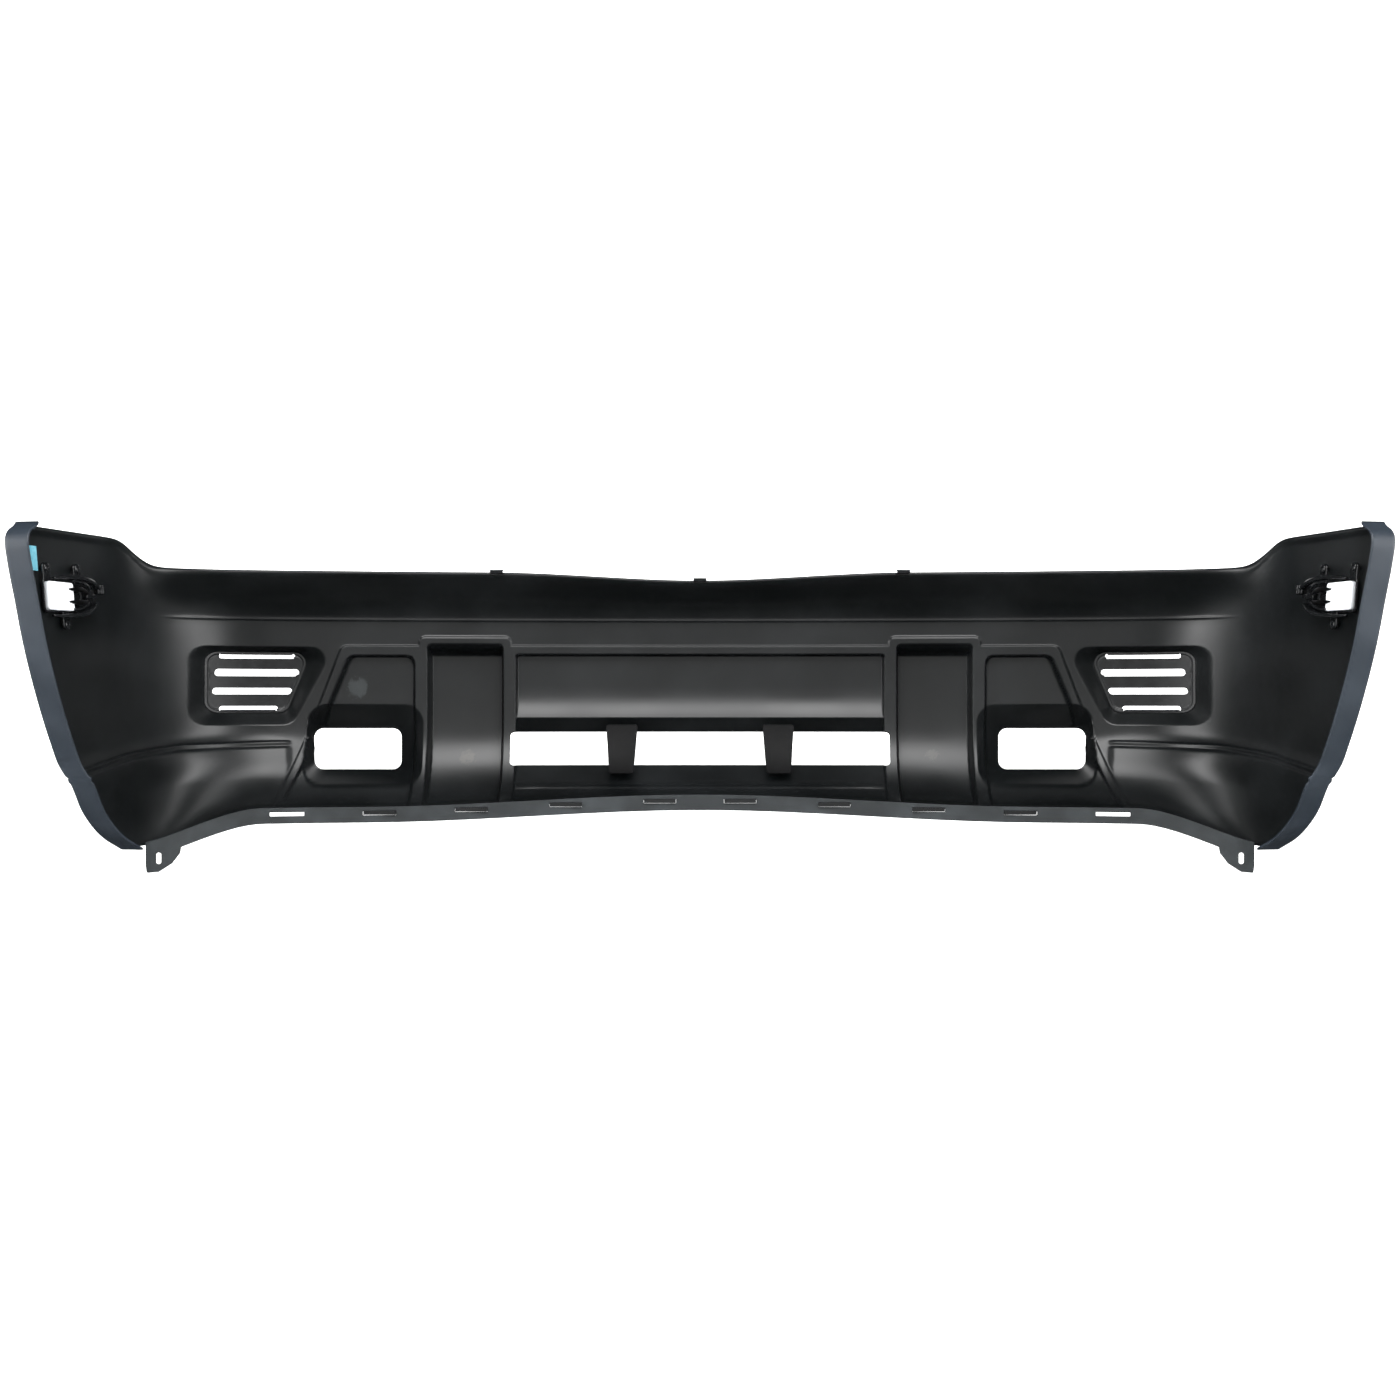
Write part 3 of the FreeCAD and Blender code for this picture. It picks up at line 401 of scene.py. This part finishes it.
def inner_normals(points):
    """Unit normals of a grid of points, pointing to the inner side of the cover."""
    along, upward = np.gradient(points, axis=0), np.gradient(points, axis=1)
    normal = np.cross(along, upward)
    return normal / np.maximum(np.linalg.norm(normal, axis=-1, keepdims=True), 1e-9)


def inward_moves(points, run):
    """Small relief on the inner side: the wing's lip, the rolled top edge, the shelf's fold and the
    wing's groove."""
    away, z = np.abs(run), points[..., 2]
    on_wing = ease(away, 870.0, 960.0)
    lip = 3.0 * ease(top_edge(run) - z, 11.0, 8.0) * on_wing
    rolled = -1.4 * ease(top_edge(run) - z, 2.2, 0.0)
    fold = 0.9 * np.exp(-((z - SHELF_FOOT + 1.0) / 1.7) ** 2) * ease(away, 880.0, 780.0)
    line = np.interp(away, [641.0, 833.0, 977.0, 1108.0, 1160.0], [190.0, 186.0, 174.0, 156.0, 147.0])
    beside = ease(away, 640.0, 655.0) * ease(-middle_section(np.abs(points[..., 0]), z), 2.0, 6.0)
    groove = (3.0 * ease(line - z, -1.6, 1.6) - 3.0 * ease(line - z, 20.0, 60.0)
              - 2.2 * np.exp(-((z - line + 7.0) / 2.6) ** 2)) * beside
    return lip + rolled + fold + groove


shell = base[..., :3].copy()
shell = shell + inner_normals(shell) * inward_moves(shell, base[..., 3])[..., None]
shell[..., 1] = forward_moves(shell)
print("deepest forward move:", round(float((shell[..., 1] - base[..., 1]).max()), 1), "mm")

# %% [markdown]
# ## From a grid of points to a sheet with clean openings
# A face grid alone would give an opening a stepped edge. Here each point just inside an opening slides
# onto its outline, and only then are the faces inside the opening left out, so the edge is smooth.

# %% Sheet maker
def sheet(name, points, keep, wall, edge_columns=0):
    """A mesh sheet of the grid where keep is positive, thickened by wall away from its normals.

    Faces in the first and last edge_columns take the second material."""
    slide_x, slide_z = np.gradient(keep)
    size = np.maximum(slide_x ** 2 + slide_z ** 2, 1e-9)
    close = (keep < 0.0) & (np.abs(keep) < 1.5 * np.sqrt(size) + 1e-9)
    move_i = np.where(close, -keep * slide_x / size, 0.0)
    move_j = np.where(close, -keep * slide_z / size, 0.0)
    along = np.gradient(points, axis=0)
    upward = np.gradient(points, axis=1)
    placed = points + along * move_i[..., None] + upward * move_j[..., None]
    solid = keep > 0.0
    used = solid[:-1, :-1] | solid[1:, :-1] | solid[:-1, 1:] | solid[1:, 1:]
    rows, cols = keep.shape
    index = np.arange(rows * cols).reshape(rows, cols)
    quads = np.stack([index[:-1, :-1], index[1:, :-1], index[1:, 1:], index[:-1, 1:]], axis=-1)[used]
    wanted = np.unique(quads)
    renumber = np.full(rows * cols, -1)
    renumber[wanted] = np.arange(len(wanted))
    mesh = bpy.data.meshes.new(name)
    mesh.from_pydata((placed.reshape(-1, 3)[wanted] * MM).tolist(), [], renumber[quads].tolist())
    mesh.polygons.foreach_set("use_smooth", [True] * len(mesh.polygons))
    if edge_columns:
        column = np.broadcast_to(np.arange(rows - 1)[:, None], used.shape)[used]
        outer = (column < edge_columns) | (column >= rows - 1 - edge_columns)
        mesh.polygons.foreach_set("material_index", outer.astype(int))
    piece = bpy.data.objects.new(name, mesh)
    bpy.context.collection.objects.link(piece)
    if wall:
        shell_wall = piece.modifiers.new("wall", "SOLIDIFY")
        shell_wall.thickness = wall * MM
        shell_wall.offset = -1.0
        shell_wall.use_quality_normals = True
    return piece


# %% The shell, with its wheel-arch flanges
def with_flanges(points, width):
    """Swaps the last few columns at both ends of the grid for the folded wheel-arch edge."""
    fillet, skip = 1.2, 3
    ends = []
    for end, beside, side in ((0, skip, -1.0), (-1, -1 - skip, 1.0)):
        edge = points[end]
        forward = points[beside] - edge
        forward = forward / np.linalg.norm(forward, axis=-1, keepdims=True)
        inward = np.array([-side * math.sin(WING_ANGLE), -math.cos(WING_ANGLE), 0.0])
        edge = edge + forward * WALL
        columns = [edge + inward * reach for reach in np.linspace(width, fillet, 14)]
        for turn in np.linspace(0.85, 0.0, 6) * math.pi / 2.0:
            columns.append(edge + forward * fillet * (1.0 - math.sin(turn))
                           + inward * fillet * (1.0 - math.cos(turn)))
        ends.append(np.stack(columns))
    return np.concatenate([ends[0], points[skip:-skip], ends[1][::-1]], axis=0)


FLANGE_COLUMNS = 15
folded = with_flanges(shell, 33.0)
x_now, z_now = np.abs(folded[..., 0]), folded[..., 2]
openings = np.maximum.reduce([intake(x_now, z_now), lamp_hole(x_now, z_now), vent_floor(x_now, z_now) - 3.0])
skin = sheet("shell", folded, -openings, WALL, FLANGE_COLUMNS)
print("shell faces before the wall:", len(skin.data.polygons))
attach(skin, "root")
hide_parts("cover_skin")

# %% [markdown]
# ## Vent inserts
# Each vent has a flat insert with four slots. The first and last slot follow the rounded outline. The
# slats between them lean a little, which keeps spray out and makes them look darker than the frame.

# %% Vent inserts
def patch(x_low, x_high, z_low, z_high, step):
    """A fine grid of the inner surface over one window on the right half."""
    middle = base[:, len(UPWARD) // 2]
    runs = np.interp([x_low, x_high], middle[:, 0], middle[:, 3])
    across = np.interp(np.arange(runs[0], runs[1], step), wanted_run, ACROSS)
    column = spline_points(across[:1], UPWARD)[0]
    upward = np.interp(np.arange(z_low, z_high, step), column[:, 2], UPWARD)
    return spline_points(across, upward)[..., :3]


def other_side(points):
    """The same grid on the left half."""
    flipped = points[::-1].copy()
    flipped[..., 0] *= -1.0
    return flipped


LOWEST_SLOT, SLOT_PITCH = 240.6, 27.3
VENT_SLOTS = [(690.0, 322.5, 108.0, 8.0), (690.0, 296.6, 120.0, 11.0), (697.0, 267.8, 112.0, 10.0),
              (703.0, LOWEST_SLOT, 82.0, 8.0)]
vent_step = 0.9
insert = patch(606.0, 776.0, 224.0, 338.0, vent_step)
insert_x, insert_z = insert[..., 0], insert[..., 2]
edge = vent_floor(insert_x, insert_z)
slots = np.maximum.reduce([
    np.minimum(outline_rectangle(insert_x, insert_z, x, z, width, height, 0.48 * height), edge - 2.5)
    for x, z, width, height in VENT_SLOTS])
slat = (insert_z - LOWEST_SLOT) / SLOT_PITCH % 1.0
insert[..., 1] += VENT_DEPTH - 1.0 - 1.6 * ease(5.0 - edge, 0.0, 1.6) + 2.6 * (0.5 - slat) * ease(edge, 5.0, 8.0)
for side in ("left", "right"):
    points = insert if side == "right" else other_side(insert)
    keep = np.minimum(edge - 0.5, -slots)
    grille = sheet("vent_insert_" + side, points, keep if side == "right" else keep[::-1], 2.4)
    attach(grille, "root")
    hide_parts("vent_grille_" + side)
print("vent inserts with", len(VENT_SLOTS), "slots each")

# %% [markdown]
# ## Wing brackets
# A black moulded bracket is riveted to each wing. It carries a white nylon guide and a black clip, and
# two glossy rails run together at its front end. They are drawn flat in the wing's own frame: x to the
# front, y up and z away from the wing. Then they are turned into place, and mirrored for the other wing.

# %% The wing's own frame
BRACKET_RUN, BRACKET_HEIGHT = -1110.0, 397.0
row = int(np.argmin(np.abs(base[5, :, 2] - BRACKET_HEIGHT)))
column = int(np.argmin(np.abs(base[:, row, 3] - BRACKET_RUN)))
wing_point = base[column, row, :3]
wing_forward = base[column + 3, row, :3] - wing_point
wing_forward /= np.linalg.norm(wing_forward)
wing_up = base[column, row + 3, :3] - base[column, row - 3, :3]
wing_in = np.cross(wing_forward, wing_up)
wing_in /= np.linalg.norm(wing_in)
wing_up = np.cross(wing_in, wing_forward)


def rounded_ring(core, radius, height):
    """Points round a convex core (anticlockwise) at a distance, all at one height."""
    core = np.array(core, dtype=float)
    points = []
    for before, corner, after in zip(np.roll(core, 1, axis=0), core, np.roll(core, -1, axis=0)):
        first = math.atan2(*(corner - before)[::-1]) - math.pi / 2.0
        last = math.atan2(*(after - corner)[::-1]) - math.pi / 2.0
        turn = (last - first) % (2.0 * math.pi)
        for share in np.linspace(0.0, 1.0, 6):
            angle = first + turn * share
            points.append((corner[0] + radius * math.cos(angle), corner[1] + radius * math.sin(angle), height))
    return points


def bridged(rings, closed_low=True, closed_high=True):
    """Points and faces of rings joined one to the next."""
    count = len(rings[0])
    points = [point for ring in rings for point in ring]
    faces = []
    for level_now in range(len(rings) - 1):
        low = level_now * count
        faces += [(low + i, low + (i + 1) % count, low + count + (i + 1) % count, low + count + i)
                  for i in range(count)]
    if closed_low:
        faces.append(tuple(range(count))[::-1])
    if closed_high:
        faces.append(tuple(range(len(points) - count, len(points))))
    return points, faces


def slab(core, radius, low, high, soft):
    """A plate with a rounded outline and a softened upper edge."""
    return bridged([rounded_ring(core, radius, low), rounded_ring(core, radius, high - soft),
                    rounded_ring(core, radius - 0.3 * soft, high - 0.3 * soft),
                    rounded_ring(core, radius - soft, high)])


def turned(centre, profile):
    """A round piece from (radius, height) pairs."""
    angles = np.linspace(0.0, 2.0 * math.pi, 33)[:-1]
    return bridged([[(centre[0] + radius * math.cos(a), centre[1] + radius * math.sin(a), height) for a in angles]
                    for radius, height in profile])


def swept(path, half_wide, half_tall):
    """A rounded bar along a smooth path; both half sizes are given at the path's points."""
    path = np.array(path, dtype=float)
    dense = np.linspace(0.0, len(path) - 1.0, 8 * len(path))
    places = np.arange(len(path))
    smooth = np.stack([np.polyval(np.polyfit(places, path[:, axis], min(4, len(path) - 1)), dense)
                       for axis in range(3)], axis=-1)
    wide, tall = np.interp(dense, places, half_wide), np.interp(dense, places, half_tall)
    ahead = np.gradient(smooth, axis=0)
    ahead /= np.linalg.norm(ahead, axis=-1, keepdims=True)
    beside = np.cross([0.0, 0.0, 1.0], ahead)
    beside /= np.linalg.norm(beside, axis=-1, keepdims=True)
    above = np.cross(ahead, beside)
    angles = np.linspace(0.0, 2.0 * math.pi, 17)[:-1]
    across = np.sign(np.cos(angles)) * np.abs(np.cos(angles)) ** 0.6
    upright = np.sign(np.sin(angles)) * np.abs(np.sin(angles)) ** 0.6
    rings = [[tuple(smooth[i] + beside[i] * wide[i] * c + above[i] * tall[i] * u) for c, u in zip(across, upright)]
             for i in range(len(dense))]
    return bridged(rings)


def wing_piece(name, shapes, side, node):
    """Joins shapes drawn in the wing's frame into one object on the left or right wing."""
    points, faces = [], []
    for shape_points, shape_faces in shapes:
        first = len(points)
        points += shape_points
        faces += [tuple(first + i for i in face) for face in shape_faces]
    flat = np.array(points)
    placed = wing_point + flat[:, :1] * wing_forward + flat[:, 1:2] * wing_up + flat[:, 2:] * wing_in
    if side == "right":
        placed[:, 0] *= -1.0
        faces = [face[::-1] for face in faces]
    mesh = bpy.data.meshes.new(name + "_" + side)
    mesh.from_pydata((placed * MM).tolist(), [], faces)
    mesh.polygons.foreach_set("use_smooth", [len(face) == 4 for face in faces])
    piece = bpy.data.objects.new(name + "_" + side, mesh)
    bpy.context.collection.objects.link(piece)
    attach(piece, "root")
    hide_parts(node + "_" + side)
    return piece


print("wing frame stands at", [round(float(v)) for v in wing_point])

# %% Bracket, guide, clip and rivets
RIVET_PLACES = [(-66.0, 38.0), (19.5, 41.0), (-19.5, -39.0)]
bracket_shapes = [
    slab([(-70.0, -17.0), (56.0, -12.0), (56.0, 10.0), (-70.0, 17.0)], 7.0, 4.0, 7.4, 1.2),
    slab([(-68.0, 14.0), (-62.0, 14.0), (-63.0, 38.0), (-69.0, 38.0)], 7.0, 4.0, 7.2, 1.0),
    slab([(17.0, 12.0), (22.0, 12.0), (22.0, 41.0), (17.0, 41.0)], 7.0, 4.0, 7.2, 1.0),
    slab([(-22.0, -39.0), (-17.0, -39.0), (-17.0, -12.0), (-22.0, -12.0)], 7.0, 4.0, 7.2, 1.0),
    swept([(-52.0, 24.0, 9.0), (-20.0, 26.5, 15.0), (15.0, 26.0, 17.0), (46.0, 22.0, 15.0), (72.0, 15.0, 11.0)],
          [1.5, 3.0, 3.4, 3.4, 3.0], [2.0, 4.0, 5.0, 5.0, 3.5]),
    swept([(-60.0, -28.0, 9.0), (-25.0, -28.0, 15.0), (10.0, -24.0, 17.0), (38.0, -17.0, 15.0),
           (60.0, -9.0, 11.0)],
          [1.5, 3.0, 3.4, 3.4, 3.0], [2.0, 4.0, 5.0, 5.0, 3.5]),
    swept([(-14.0, 21.0, 17.0), (8.0, 20.0, 18.5), (26.0, 15.5, 18.0), (36.0, 10.0, 15.0)],
          [1.2, 1.8, 1.8, 1.5], [1.5, 2.0, 2.0, 1.5]),
    swept([(-14.0, -18.0, 17.0), (6.0, -16.0, 18.5), (22.0, -10.0, 18.0), (30.0, -5.0, 15.0)],
          [1.2, 1.8, 1.8, 1.5], [1.5, 2.0, 2.0, 1.5]),
    swept([(30.0, 2.0, 11.0), (48.0, 3.0, 12.0), (68.0, 4.0, 9.0)], [4.5, 4.0, 2.0], [3.0, 3.0, 2.0]),
] + [slab([(x, 9.0), (x + 1.0, 9.0), (x + 1.0, 19.0), (x, 19.0)], 2.2, 5.0, 13.0, 1.2) for x in (70.0, 77.0, 83.0)]
guide_shapes = [
    slab([(-72.0, -16.0), (-14.0, -16.0), (-14.0, 14.0), (-72.0, 14.0)], 4.5, 7.4, 15.5, 1.4),
    slab([(-68.0, -12.0), (-22.0, -12.0), (-22.0, 10.0), (-68.0, 10.0)], 2.0, 15.5, 16.3, 0.6),
]
clip_shapes = [
    swept([(-26.0, y, 17.0), (-12.0, y, 18.5), (6.0, y, 19.0), (30.0, y * 0.6, 15.0)], [1.0, 3.0, 4.0, 2.2],
          [0.8, 1.4, 1.6, 1.4]) for y in (9.5, -8.5)
] + [swept([(2.0, 6.5, 18.0), (4.0, 0.0, 18.6), (2.0, -6.0, 18.0)], [1.6, 1.6, 1.6], [1.0, 1.0, 1.0])]
rivet_shapes = []
for x, y in RIVET_PLACES:
    rivet_shapes.append(turned((x, y), [(3.0, -1.0), (3.0, 7.2), (7.0, 7.3), (7.0, 8.0), (6.2, 8.9), (4.6, 9.5),
                                        (3.6, 9.6), (3.0, 9.0), (1.2, 8.9), (0.3, 8.9)]))
for side in ("left", "right"):
    wing_piece("bracket_body", bracket_shapes, side, "side_bracket")
    wing_piece("nylon_guide", guide_shapes, side, "fender_guide")
    wing_piece("clip_prongs", clip_shapes, side, "spring_clip")
    wing_piece("rivet_set", rivet_shapes, side, "bracket_rivets")
print("bracket shapes:", len(bracket_shapes), "rivets on each wing:", len(rivet_shapes))

# %% [markdown]
# ## Lights, floor and backdrop
# Black plastic shows what it mirrors more than its own colour. A wide light overhead gives the bright
# lines where the shell faces up, and two side lights give the soft vertical sheen in the corners.

# %% Floor, backdrop and lights
def linear(hex_colour):
    """An sRGB hex colour as linear RGBA."""
    parts = [int(hex_colour[i:i + 2], 16) / 255.0 for i in (1, 3, 5)]
    parts = [p / 12.92 if p <= 0.04045 else ((p + 0.055) / 1.055) ** 2.4 for p in parts]
    return (*parts, 1.0)


def add_node(material, kind, inputs=None, **settings):
    """Adds a node, sets its properties and its inputs, and links any input given as a socket."""
    node = material.node_tree.nodes.new(kind)
    for key, value in settings.items():
        setattr(node, key, value)
    for key, value in (inputs or {}).items():
        if isinstance(value, bpy.types.NodeSocket):
            material.node_tree.links.new(value, node.inputs[key])
        else:
            node.inputs[key].default_value = value
    return node


def stage_piece(name, corners, faces, hex_colour, glow):
    """A part of the studio. It stays out of reflections, as black card round a glossy part would do."""
    mesh = bpy.data.meshes.new(name)
    mesh.from_pydata(corners, [], faces)
    piece = bpy.data.objects.new(name, mesh)
    bpy.context.collection.objects.link(piece)
    material = bpy.data.materials.new(name + "_paper")
    material.use_nodes = True
    shader = material.node_tree.nodes["Principled BSDF"]
    shader.inputs["Base Color"].default_value = linear(hex_colour)
    shader.inputs["Roughness"].default_value = 0.9
    shader.inputs["Specular IOR Level"].default_value = 0.0
    shader.inputs["Emission Color"].default_value = linear("#FFFFFF")
    shader.inputs["Emission Strength"].default_value = glow
    mesh.materials.append(material)
    piece.visible_glossy = False
    return piece


ROOM = 9.0
ring = [(ROOM * math.cos(turn), ROOM * math.sin(turn)) for turn in np.linspace(0.0, 2.0 * math.pi, 49)[:-1]]
stage_piece("floor", [(x, y, 0.0) for x, y in ring], [tuple(range(48))], "#F4F5F5", 0.5)
stage_piece("backdrop", [(x, y, z) for x, y in ring for z in (0.0, ROOM)],
            [(2 * i, 2 * i + 1, (2 * i + 3) % 96, (2 * i + 2) % 96) for i in range(48)], "#FAFAFA", 0.9)


def soft_light(name, place, target, size, power):
    """A rectangular light that shows in reflections and not to the camera."""
    data = bpy.data.lights.new(name, "AREA")
    data.shape = "RECTANGLE"
    data.size, data.size_y = size
    data.energy = power
    light = bpy.data.objects.new(name, data)
    light.location = place
    light.rotation_euler = (Vector(target) - Vector(place)).to_track_quat("-Z", "Y").to_euler()
    light.visible_camera = False
    bpy.context.collection.objects.link(light)
    return light


soft_light("overhead", (0.0, -2.1, 2.4), (0.0, 0.1, 0.2), (3.2, 1.5), 130.0)
soft_light("rear_card", (0.0, -5.2, 0.9), (0.0, 0.0, 0.3), (5.0, 1.6), 28.0)
soft_light("low_card", (0.0, -1.15, 0.03), (0.0, -0.2, 0.6), (2.4, 0.5), 2.2)
for name, way in (("left_side", -1.0), ("right_side", 1.0)):
    soft_light(name, (2.7 * way, -0.9, 0.75), (-0.6 * way, 0.1, 0.3), (1.5, 1.3), 62.0)
soft_light("front_fill", (0.0, 4.4, 1.5), (0.0, 0.2, 0.3), (3.0, 1.2), 14.0)
world = bpy.data.worlds.new("studio")
world.use_nodes = True
world.node_tree.nodes["Background"].inputs["Color"].default_value = linear("#C9CED2")
world.node_tree.nodes["Background"].inputs["Strength"].default_value = 0.04
bpy.context.scene.world = world
bpy.context.scene.view_settings.view_transform = "Standard"
print("soft lights:", len(bpy.data.lights))

# %% [markdown]
# ## Materials
# All the plastics share one recipe: a cloudy gloss, because a mould never presses evenly, pale rubs and
# dust from handling, lighter spots that serve as rubs and, on the pads, as painted highlights, and a fine
# grain in the bump. Only the sizes, colours and gloss differ. Patterns are sized in millimetres and use
# object coordinates, so they stay on the piece.

# %% One recipe for a moulded surface
def rub_and_glow_spot(material, place, shade, centre, radius_mm, hex_rub_and_glow):
    """Mixes one lighter spot with a ragged edge over a colour; the spots are rubs, and those on the pads are also
    painted highlights. The rag's patches are about 9 mm wide.
    """
    reach = radius_mm * MM
    far = add_node(material, "ShaderNodeVectorMath", {0: place, 1: centre}, operation="DISTANCE").outputs["Value"]
    patches = add_node(material, "ShaderNodeTexNoise", {
        "Vector": place, "Scale": 110.0, "Detail": 4.0, "Distortion": 1.2}).outputs["Fac"]
    ragged = add_node(material, "ShaderNodeMath", {0: patches, 1: 1.4 * reach, 2: far},
                      operation="MULTIPLY_ADD").outputs[0]
    amount = add_node(material, "ShaderNodeMapRange", {
        "Value": ragged, "From Min": 1.35 * reach, "From Max": 1.8 * reach,
        "To Min": 0.8, "To Max": 0.0}, interpolation_type="SMOOTHSTEP").outputs["Result"]
    return add_node(material, "ShaderNodeMix", {0: amount, 6: shade, 7: linear(hex_rub_and_glow)},
                    data_type="RGBA").outputs[2]


def surface(name, hex_colour, hex_worn, roughness, patch_mm, grain_mm, grain_depth_mm, dust, rubs_and_glows=(),
            specular=0.5, metallic=0.0, ior=1.49):
    """A finish from its colour, the colour of its rubs, its gloss and the sizes of its patterns."""
    material = bpy.data.materials.new(name)
    material.use_nodes = True
    shader = material.node_tree.nodes["Principled BSDF"]
    shader.inputs["IOR"].default_value = ior
    shader.inputs["Metallic"].default_value = metallic
    shader.inputs["Specular IOR Level"].default_value = specular
    place = add_node(material, "ShaderNodeTexCoord").outputs["Object"]
    cloud = add_node(material, "ShaderNodeTexNoise", {
        "Vector": place, "Scale": 1000.0 / patch_mm, "Detail": 2.5, "Roughness": 0.5}).outputs["Fac"]
    worn = add_node(material, "ShaderNodeMapRange", {
        "Value": cloud, "From Min": 0.35, "From Max": 0.85, "To Max": dust},
        interpolation_type="SMOOTHSTEP").outputs["Result"]
    shade = add_node(material, "ShaderNodeMix", {0: worn, 6: linear(hex_colour), 7: linear(hex_worn)},
                     data_type="RGBA").outputs[2]
    for rub_and_glow in rubs_and_glows:
        shade = rub_and_glow_spot(material, place, shade, *rub_and_glow)
    gloss = add_node(material, "ShaderNodeMapRange", {
        "Value": cloud, "From Min": 0.2, "From Max": 0.8,
        "To Min": roughness - 0.05, "To Max": roughness + 0.06},
        interpolation_type="SMOOTHSTEP").outputs["Result"]
    grain = add_node(material, "ShaderNodeTexNoise", {
        "Vector": place, "Scale": 1000.0 / grain_mm, "Detail": 3.0}).outputs["Fac"]
    bump = add_node(material, "ShaderNodeBump", {
        "Height": grain, "Strength": 0.6, "Distance": grain_depth_mm * MM}).outputs["Normal"]
    for socket, source in (("Base Color", shade), ("Roughness", gloss), ("Normal", bump)):
        material.node_tree.links.new(source, shader.inputs[socket])
    return material


print("recipe ready: clouds, rubs, gloss and grain")

# %% [markdown]
# ### Polypropylene
# The shell is injection-moulded black polypropylene (PP) from a polished tool. The eye sees a deep black
# with a wide, soft sheen. A label or a hand has rubbed one lamp panel dull and lighter, and a lighter patch on
# each pad is a painted highlight where the pad's bright glow falls, with a rub's mottle. The outer face is
# moulded with a leather-like grain, so the folded arch edge looks slate grey and flat. The strip is a
# grained, matt PP. The struts are the shell's own black PP, given a darker and duller copy of it as painted
# shade for the dark of the intake.

# %% Polypropylene finishes
# Lighter spots, each a centre, a radius in mm and a colour: a rub on the left lamp panel, and on both pads a
# painted highlight where the pad's bright glow falls.
RUBS_AND_GLOWS = [((-0.541, 0.245, 0.273), 17.0, "#25292A"), ((-0.371, 0.283, 0.160), 17.0, "#2A2722"),
          ((0.371, 0.283, 0.163), 15.0, "#262522")]
satin_pp = surface("satin_moulded_pp", "#07090A", "#1B1E20", 0.335, 130.0, 3.0, 0.012, 0.35, RUBS_AND_GLOWS)
flange_pp = surface("grained_outer_pp", "#1C232B", "#2C343D", 0.5, 60.0, 1.8, 0.05, 0.4)
matt_pp = surface("matt_grained_pp", "#1C2022", "#303538", 0.62, 45.0, 1.6, 0.05, 0.6)
grille_pp = surface("grained_grille_pp", "#101112", "#1E2021", 0.42, 18.0, 1.4, 0.04, 0.4)
# The struts are the shell's black PP, painted darker and made less glossy: painted shade for the dark of the
# intake.
shaded_strut_pp = surface("dull_black_strut_pp", "#040405", "#0C0D0E", 0.6, 40.0, 1.6, 0.04, 0.3, specular=0.2)
print("polypropylene:", [finish.name for finish in (satin_pp, flange_pp, matt_pp, grille_pp, shaded_strut_pp)])

# %% [markdown]
# ### Acetal, nylon, steel and film
# The brackets and rivets are moulded acetal (POM), which is hard and takes a high gloss, so their edges
# show sharp highlights. The guides are uncoloured nylon (PA), a milky white. The clips are pressed from
# spring steel with a dark grey phosphate coat, which glints only a little. A torn strip of pale blue
# protective film is left on one wing.

# %% Bracket, guide, clip and film finishes
bracket_pom = surface("moulded_black_acetal", "#0E0F10", "#1C1D1F", 0.16, 25.0, 2.0, 0.01, 0.2)
nylon = surface("natural_nylon", "#E4E7EA", "#C9CCD0", 0.4, 20.0, 1.5, 0.02, 0.3)
spring_steel = surface("phosphated_spring_steel", "#2A2B2C", "#3C3D3E", 0.35, 6.0, 0.6, 0.02, 0.5,
                       metallic=1.0, ior=1.5)
clear_film = surface("clear_blue_film", "#4A7F8E", "#6FA3AF", 0.15, 12.0, 3.0, 0.05, 0.6)
print("others:", [finish.name for finish in (bracket_pom, nylon, spring_steel, clear_film)])

# %% [markdown]
# ## Giving each piece its finish
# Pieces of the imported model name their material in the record. The pieces made here take theirs by name,
# and the shell's second material goes to the folded arch edges.

# %% Finishes on pieces
FINISHES = {
    "skin_plastic": satin_pp, "strip_plastic": matt_pp, "grille_plastic": grille_pp,
    "bracket_plastic": bracket_pom, "nylon": nylon, "clip_plastic": bracket_pom,
    "rivet_plastic": bracket_pom, "clip_steel": spring_steel, "film": clear_film,
}
for part in frame["record"]["subparts"]:
    finish = shaded_strut_pp if part["node"].startswith("strut") else FINISHES[part["material_slot"]]
    for slot in frame["nodes"][part["node"]].material_slots:
        slot.link = "OBJECT"
        slot.material = finish
skin.data.materials.append(satin_pp)
skin.data.materials.append(flange_pp)
PIECE_FINISHES = {"vent_insert": grille_pp, "bracket_body": bracket_pom, "nylon_guide": nylon,
                  "clip_prongs": spring_steel, "rivet_set": bracket_pom}
for piece in bpy.data.objects:
    for start, finish in PIECE_FINISHES.items():
        if piece.name.startswith(start):
            piece.data.materials.append(finish)
print("finishes:", sorted(finish.name for finish in set(FINISHES.values())))
